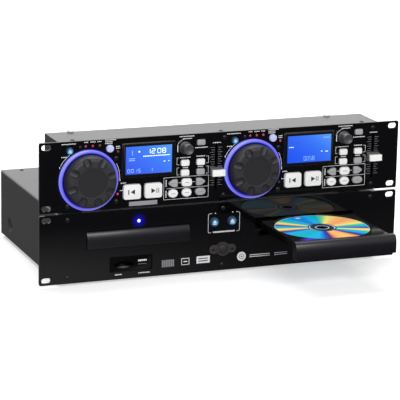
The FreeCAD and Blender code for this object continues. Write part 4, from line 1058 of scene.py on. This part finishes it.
# The lenses of one deck: name, across from the wheel, up the panel, radius, and each deck's finish.
DECK_LENSES = (
    ("off", -10.5, 80.5, 1.6, "dead", "dead"), ("1", -3.5, 81.0, 1.4, "red", "red"),
    ("2", 5.5, 81.0, 1.4, "red", "red"), ("3", 14.5, 81.0, 1.5, "amber", "red"),
    ("4", 38.0, 72.0, 1.5, "amber", "red"), ("5", 38.0, 18.5, 1.5, "red", "dead"),
)


def lamps():
    """The small lenses of both decks, and the drive's blue lamp."""
    for side, jog_x in zip(SIDES, JOG_XS):
        for name, across, up, radius, *finishes in DECK_LENSES:
            finish = finishes[SIDES.index(side)]
            lens("%s_lamp_%s" % (side, name), jog_x + across, CONTROL_Z + up, radius, 0.6, finish)
    lens("drive_lamp", *DRIVE_LAMP, 2.0, 1.0, "blue_lamp")


def screw(name, x, z):
    """A cross-headed screw with a shallow domed head."""
    profile = [(1.6, FRONT + 2.0), (1.6, FRONT + 0.05), (2.75, FRONT), (2.75, FRONT - 0.35),
               (2.3, FRONT - 0.75), (1.4, FRONT - 0.95), (0.5, FRONT - 1.0)]
    head = turned(name, x, z, profile, 24)
    for cut, wide, tall in (("cross_a", 1.5, 0.3), ("cross_b", 0.3, 1.5)):
        low, high = (x - wide, FRONT - 1.4, z - tall), (x + wide, FRONT - 0.5, z + tall)
        carve(head, slab(cut, low, high, 0.05, 1))
    smooth(head, 30.0)
    dress(head, "screw", "unit")
    return head


def screws():
    """Screws in the panels, the power key's bezel and the covers, all copied from the first."""
    first_at = (-SCREW_X, DRIVE_Z + SCREW_LOW)
    first = screw("panel_screw_1", *first_at)
    home = at(-first_at[0], -FRONT, -first_at[1])
    places = [(x, base + up) for base in (DRIVE_Z, CONTROL_Z) for x in (-SCREW_X, 0.0, SCREW_X)
              for up in (SCREW_LOW, SCREW_HIGH)]
    places.remove(first_at)
    # The upper panel has no screw at its upper left.
    places.remove((-SCREW_X, CONTROL_Z + SCREW_HIGH))
    for jog_x in JOG_XS:
        places += [(jog_x + 36.0, CONTROL_Z + 63.5), (jog_x + 36.5, CONTROL_Z + 9.0)]
    moves = [("panel_screw_%d" % number, at(x, FRONT, z) @ home) for number, (x, z) in enumerate(places, 2)]
    for number, x in enumerate((-13.2, 13.2), 1):
        moves.append(("bezel_screw_%d" % number, at(x, FRONT - 1.4, 31.65) @ Matrix.Scale(0.7, 4) @ home))
    # The other screws stand up from the tops, or look out of the back and the sides.
    upward = Matrix.Rotation(math.radians(-90.0), 4, "X")
    rearward, leftward, rightward = (Matrix.Rotation(math.radians(a), 4, "Z") for a in (180.0, -90.0, 90.0))
    seats = [(upward, x, -54.0, 181.0) for x in (-195.0, 0.0, 195.0)]
    seats += [(upward, x, 178.0, 91.0) for x in (-190.0, 0.0, 190.0)]
    seats += [(rearward, x, 186.35, z) for x in (-208.0, 208.0) for z in (14.0, 82.0)]
    seats += [(rearward, 0.0, 186.35, 82.0), (rearward, -120.0, 187.55, SOCKET_Z)]
    seats += [(leftward, -213.9, 145.35, 25.7), (rightward, 213.9, 145.35, 25.7)]
    for number, (turn, x, y, z) in enumerate(seats, 1):
        moves.append(("cover_screw_%d" % number, at(x, y, z) @ turn @ home))
    for name, move in moves:
        dress(copied(first, name, move), "screw", "unit")


def name_plate():
    """A bare silver plate at the foot of the upper panel."""
    x0, z0 = JOG_XS[0] + 53.0, CONTROL_Z + 1.9
    plate = slab("name_plate", (x0, FRONT - 0.5, z0), (x0 + 37.0, FRONT + 0.1, z0 + 5.3), 0.12)
    dress(plate, "silver", "unit")


# ------------------------------------------------------------------ controls
def capsule(name, start, along, radius, length):
    """A rod with round ends that begins about a point and runs along a direction."""
    clear()
    bpy.ops.mesh.primitive_uv_sphere_add(segments=40, ring_count=20, radius=radius * MM, location=start * MM,
                                         rotation=along.to_track_quat("Z", "Y").to_euler())
    tool = settle(name)
    edit(tool)
    bpy.ops.mesh.select_all(action="DESELECT")
    leave()
    for vertex in tool.data.vertices:
        vertex.select = (vertex.co - start * MM).dot(along) > 0.00001
    bpy.ops.object.mode_set(mode="EDIT")
    bpy.ops.transform.translate(value=along * length * MM)
    leave()
    return tool


def jog_wheels():
    """Two scooped wheels: a turned body with thumb scoops cut into its rim."""
    jog_x, z, face = JOG_XS[0], WHEEL_Z, FRONT - 18.3
    profile = [(5.0, -58.85), (5.0, -67.85), (32.3, -67.85), (32.6, -68.2), (32.6, -78.0), (32.4, -80.2),
               (31.8, -82.2), (30.8, -83.9), (29.4, -85.1), (27.8, -85.7), (26.0, face), (19.0, face),
               (18.6, face + 0.15), (18.4, face + 0.75), (18.1, face + 0.9), (9.0, face + 1.0),
               (0.5, face + 0.9)]
    wheel = turned("left_jog_wheel_skin", jog_x, z, profile, 96)
    slope = math.radians(9.0)
    scoop_radius, scoop_length = 6.0, 14.0
    for number in range(SCOOPS):
        angle = math.radians(FIRST_SCOOP + number * SCOOP_STEP)
        outward = Vector((math.cos(angle), 0, math.sin(angle)))
        along = outward * math.cos(slope) + Vector((0, math.sin(slope), 0))
        start = Vector((jog_x, face - 3.4, z)) + outward * SCOOP_START
        carve(wheel, capsule("scoop", start, along, scoop_radius, scoop_length))
    bevel(wheel, 0.25, 2, 24.0)
    even_normals(wheel, 30.0)
    turn = Matrix.Rotation(math.radians(-TWIN_TURN), 4, "Y")
    twin = copied(wheel, "right_jog_wheel_skin", at(JOG_XS[1], 0, z) @ turn @ at(-jog_x, 0, -z))
    stand_in_pair(wheel, twin, "wheel", "_jog_wheel")


def light_rings():
    """Clear rings with a softly domed front."""
    profile = [(33.4, -67.55), (RING_RADIUS, -67.55), (RING_RADIUS, -70.5), (37.5, -71.2), (36.9, -71.5),
               (35.0, -71.55), (34.0, -71.3), (33.5, -70.8)]
    ring = looped("light_rings_skin", JOG_XS[0], WHEEL_Z, profile, 96)
    pair = joined("light_rings_skin", [ring, copied(ring, "twin", at(DECK_STEP, 0, 0))])
    smooth(pair, 40.0)
    stand_in(pair, "ring", "light_rings")


def search_knobs():
    """Turned knobs with a skirt and a hollow face."""
    profile = [(3.0, -62.55), (3.0, -67.85), (7.8, -67.85), (8.0, -68.05), (8.0, -69.5), (7.6, -70.0),
               (6.8, -70.25), (6.6, -70.6), (6.5, -80.9), (6.25, -81.6), (5.8, -81.85), (5.3, -81.75),
               (4.6, -81.1), (3.0, -80.5), (1.2, -80.25), (0.2, -80.2)]
    knob = turned("left_search_knob_skin", JOG_XS[0] + KNOB_FROM_JOG, KNOB_Z, profile, 64)
    smooth(knob, 40.0)
    twin = copied(knob, "right_search_knob_skin", at(DECK_STEP, 0, 0))
    stand_in_pair(knob, twin, "knob", "_search_knob")


def tray_fascias():
    """Crowned tray fronts, drawn up row by row from the foot and rounded over at the top."""
    x, back, wide = -TRAY_X, -58.55, 135.2
    rows = [(45.05, 10.3), (45.35, 10.75), (46.2, 11.0), (52.0, 11.0), (56.0, 10.96), (58.5, 10.82),
            (60.8, 10.5), (62.8, 10.0), (64.6, 9.3), (66.0, 8.4), (67.0, 7.4), (67.5, 6.5), (67.65, 5.6)]
    height, thick = rows[0]
    foot = (x * MM, (back - thick / 2) * MM, height * MM)
    clear()
    bpy.ops.mesh.primitive_plane_add(size=1, location=foot)
    front = settle("left_tray_fascia_skin")
    edit(front)
    bpy.ops.transform.resize(value=(wide * MM, thick * MM, 1), center_override=foot)
    for next_height, next_thick in rows[1:]:
        step = (0, 0, (next_height - height) * MM)
        bpy.ops.mesh.extrude_region_move(TRANSFORM_OT_translate={"value": step})
        middle = (x * MM, back * MM, next_height * MM)
        bpy.ops.transform.resize(value=(1, next_thick / thick, 1), center_override=middle)
        height, thick = next_height, next_thick
    leave_outward()
    bevel(front, 0.9, 3, 60.0)
    smooth(front, 40.0)
    opened = copied(front, "right_tray_fascia_skin", at(2 * TRAY_X, -TRAY_TRAVEL, 0))
    stand_in_pair(front, opened, "fascia", "_tray_fascia")


def key_socket():
    """The white tongue in the key socket, its dark contacts and the caption under it."""
    x, z = -106.6, 25.1
    tongue = slab("socket_tongue", (x - 5.6, -66.3, z - 1.1), (x + 5.6, -58.0, z + 1.1), 0.15)
    dress(tongue, "white", "unit")
    ink = Print(-66.3, 0.02)
    for number in range(4):
        ink.bar(x - 3.6 + number * 2.4, z - 0.5, 0.9, 1.1)
    ink.done("socket_contacts", "dark_ink")
    caption = Print(-66.55, 0.02)
    caption.caption(x - 5.4, x + 5.4, z - 4.4, 0.8)
    caption.done("socket_caption", "grey_ink")


def case_plugs():
    """Two pale hole plugs on the rear edge of the controller's casing."""
    profile = [(4.6, FRONT + 0.3), (4.6, FRONT - 0.5), (4.3, FRONT - 1.1), (3.3, FRONT - 1.6),
               (1.5, FRONT - 1.85), (0.3, FRONT - 1.9)]
    plug = turned("case_plug_left", 0.0, 0.0, profile, 32)
    smooth(plug, 50.0)
    turn_up = Matrix.Rotation(math.radians(-90.0), 4, "X") @ at(0, -FRONT, 0)
    twin = copied(plug, "case_plug_right", at(166.0, -9.8, 182.55) @ turn_up)
    plug.data.transform(at(-183.0, -9.8, 182.55) @ turn_up)
    for piece in (plug, twin):
        dress(piece, "white", "unit")


# ------------------------------------------------------------------ the player
KEPT_NODES = {
    "drive_front_panel": "panel", "controller_front_panel": "panel", "controller_case": "case",
    "drive_top_cover": "case", "drive_chassis": "chassis", "loader_frames": "frame",
    "rubber_feet": "rubber", "rear_sockets": "socket",
}
KEY_FINISHES = ["blue", "lit_white", "grey", "white", "white", "white", "white", "white", "grey",
                "grey", "white", "grey", "white", "white", "grey"]


def dress_nodes():
    """Finishes for the nodes that stay as they are, and refined copies of most others."""
    for node, finish in KEPT_NODES.items():
        frame["nodes"][node].material_slots[0].material = FINISHES[finish].material
    pieces = [("display_windows", "bezel", 0.15), ("panel_inserts", "insert", 0.0), ("disc", "disc", 0.0),
              ("power_key", "power", 0.1)]
    for side in SIDES:
        pieces += [(side + "_tray", "tray", 0.0), (side + "_pinion", "gear", 0.0),
                   (side + "_turntable", "platter", 0.0), (side + "_fader_knob", "fader", 0.5),
                   (side + "_open_key", "blue", 0.4)]
        pieces += [(side + "_" + key, finish, 0.5) for key, finish in zip(DECK_KEYS, KEY_FINISHES)]
    for piece in pieces:
        refined(*piece)


dress_nodes()
jog_wheels()
light_rings()
search_knobs()
tray_fascias()
key_socket()
case_plugs()
for side, jog_x in zip(SIDES, JOG_XS):
    deck_print(side, jog_x)
    fader_ticks(side, jog_x)
    key_marks(side, jog_x)
    lcd(side, jog_x)
drive_print()
badges()
plate_badge()
round_badge()
eject_marks()
lamps()
screws()
name_plate()


# ------------------------------------------------------------------ studio
def studio_floor():
    """A plain pale floor that stays white to the eye and keeps the player's shadow."""
    clear()
    bpy.ops.mesh.primitive_plane_add(size=30.0, location=(0, 0, -0.0002))
    floor = settle("floor")
    finish = Finish("floor_pale")
    x, y, z = finish.axes()
    pale = tone(226, 226, 226)
    finish.set(colour=pale, rough=0.9, gloss=0.0)
    near = ((y + 0.34) / 0.20).held()
    leftward = ((0.06 - x) / 0.26).held()
    mirror = 0.26 + y.below(-0.06) * (near * leftward * 0.34 + near * 0.06 - 0.20)
    far = (distance(x, y) - 0.45).held()
    diffuse = finish.node("ShaderNodeBsdfDiffuse", values={"Color": pale})
    glow = finish.ray("Camera") * (0.52 + far * 0.48)
    white = finish.node("ShaderNodeEmission", values={"Color": (1, 1, 1, 1), "Strength": glow})
    open_floor = finish.node("ShaderNodeAddShader", values={0: diffuse, 1: white})
    seen_back = finish.node("ShaderNodeEmission", values={"Color": (1, 1, 1, 1), "Strength": mirror})
    shine = finish.ray("Glossy").larger(finish.ray("Transmission"))
    mixed = finish.node("ShaderNodeMixShader", values={0: shine, 1: open_floor, 2: seen_back})
    finish.put(finish.tree.nodes["Material Output"].inputs["Surface"], mixed)
    floor.data.materials.append(finish.material)


def studio_world():
    """White to the eye and in mirrors, and dim as a light."""
    world = bpy.data.worlds.new("studio")
    bpy.context.scene.world = world
    world.use_nodes = True
    wiring = Wiring(world.node_tree)
    looked_at = wiring.ray("Camera").larger(wiring.ray("Glossy")).larger(wiring.ray("Transmission"))
    level = wiring.node("ShaderNodeMapRange", values={"Value": looked_at, "To Min": 0.22, "To Max": 1.0})
    light = world.node_tree.nodes["Background"]
    wiring.put(light.inputs["Strength"], level)
    wiring.put(light.inputs["Color"], (1, 1, 1, 1))


def softbox(name, place, target, size, power):
    """A flat light turned towards a point."""
    lamp_data = bpy.data.lights.new(name, "AREA")
    lamp_data.shape = "RECTANGLE"
    lamp_data.size = size[0]
    lamp_data.size_y = size[1]
    lamp_data.energy = power
    light = bpy.data.objects.new(name, lamp_data)
    bpy.context.scene.collection.objects.link(light)
    light.location = place
    way = Vector(target) - Vector(place)
    light.rotation_euler = way.to_track_quat("-Z", "Y").to_euler()


CAMERA_AT = (-0.962408, -2.411379, 0.729286)
CAMERA_YAW, CAMERA_PITCH, CAMERA_ROLL = (math.radians(a) for a in (21.681, 14.085, 1.135))


def studio_camera():
    """A long lens from the front left, a little above the player."""
    flat = Vector((math.sin(CAMERA_YAW), math.cos(CAMERA_YAW), 0.0))
    ahead = flat * math.cos(CAMERA_PITCH) + Vector((0.0, 0.0, -math.sin(CAMERA_PITCH)))
    right = Vector((math.cos(CAMERA_YAW), -math.sin(CAMERA_YAW), 0.0))
    up = right.cross(ahead)
    across = math.cos(CAMERA_ROLL) * right + math.sin(CAMERA_ROLL) * up
    upward = math.cos(CAMERA_ROLL) * up - math.sin(CAMERA_ROLL) * right
    lens_data = bpy.data.cameras.new("camera")
    lens_data.lens = 187.17
    lens_data.sensor_width = 36.0
    lens_data.shift_x = -0.0019
    lens_data.shift_y = 0.0014
    lens_data.clip_start = 0.05
    camera = bpy.data.objects.new("camera", lens_data)
    bpy.context.scene.collection.objects.link(camera)
    turn = Matrix((across, upward, -ahead)).transposed().to_4x4()
    camera.matrix_world = Matrix.Translation(CAMERA_AT) @ turn
    bpy.context.scene.camera = camera


studio_floor()
studio_world()
softbox("overhead", (0.0, 0.7, 2.0), (0.0, 0.0, 0.1), (2.0, 1.4), 42.0)
softbox("front", (-0.2, -2.6, 1.5), (0.0, -0.05, 0.1), (1.6, 1.2), 60.0)
studio_camera()
bpy.context.scene.view_settings.view_transform = "Standard"
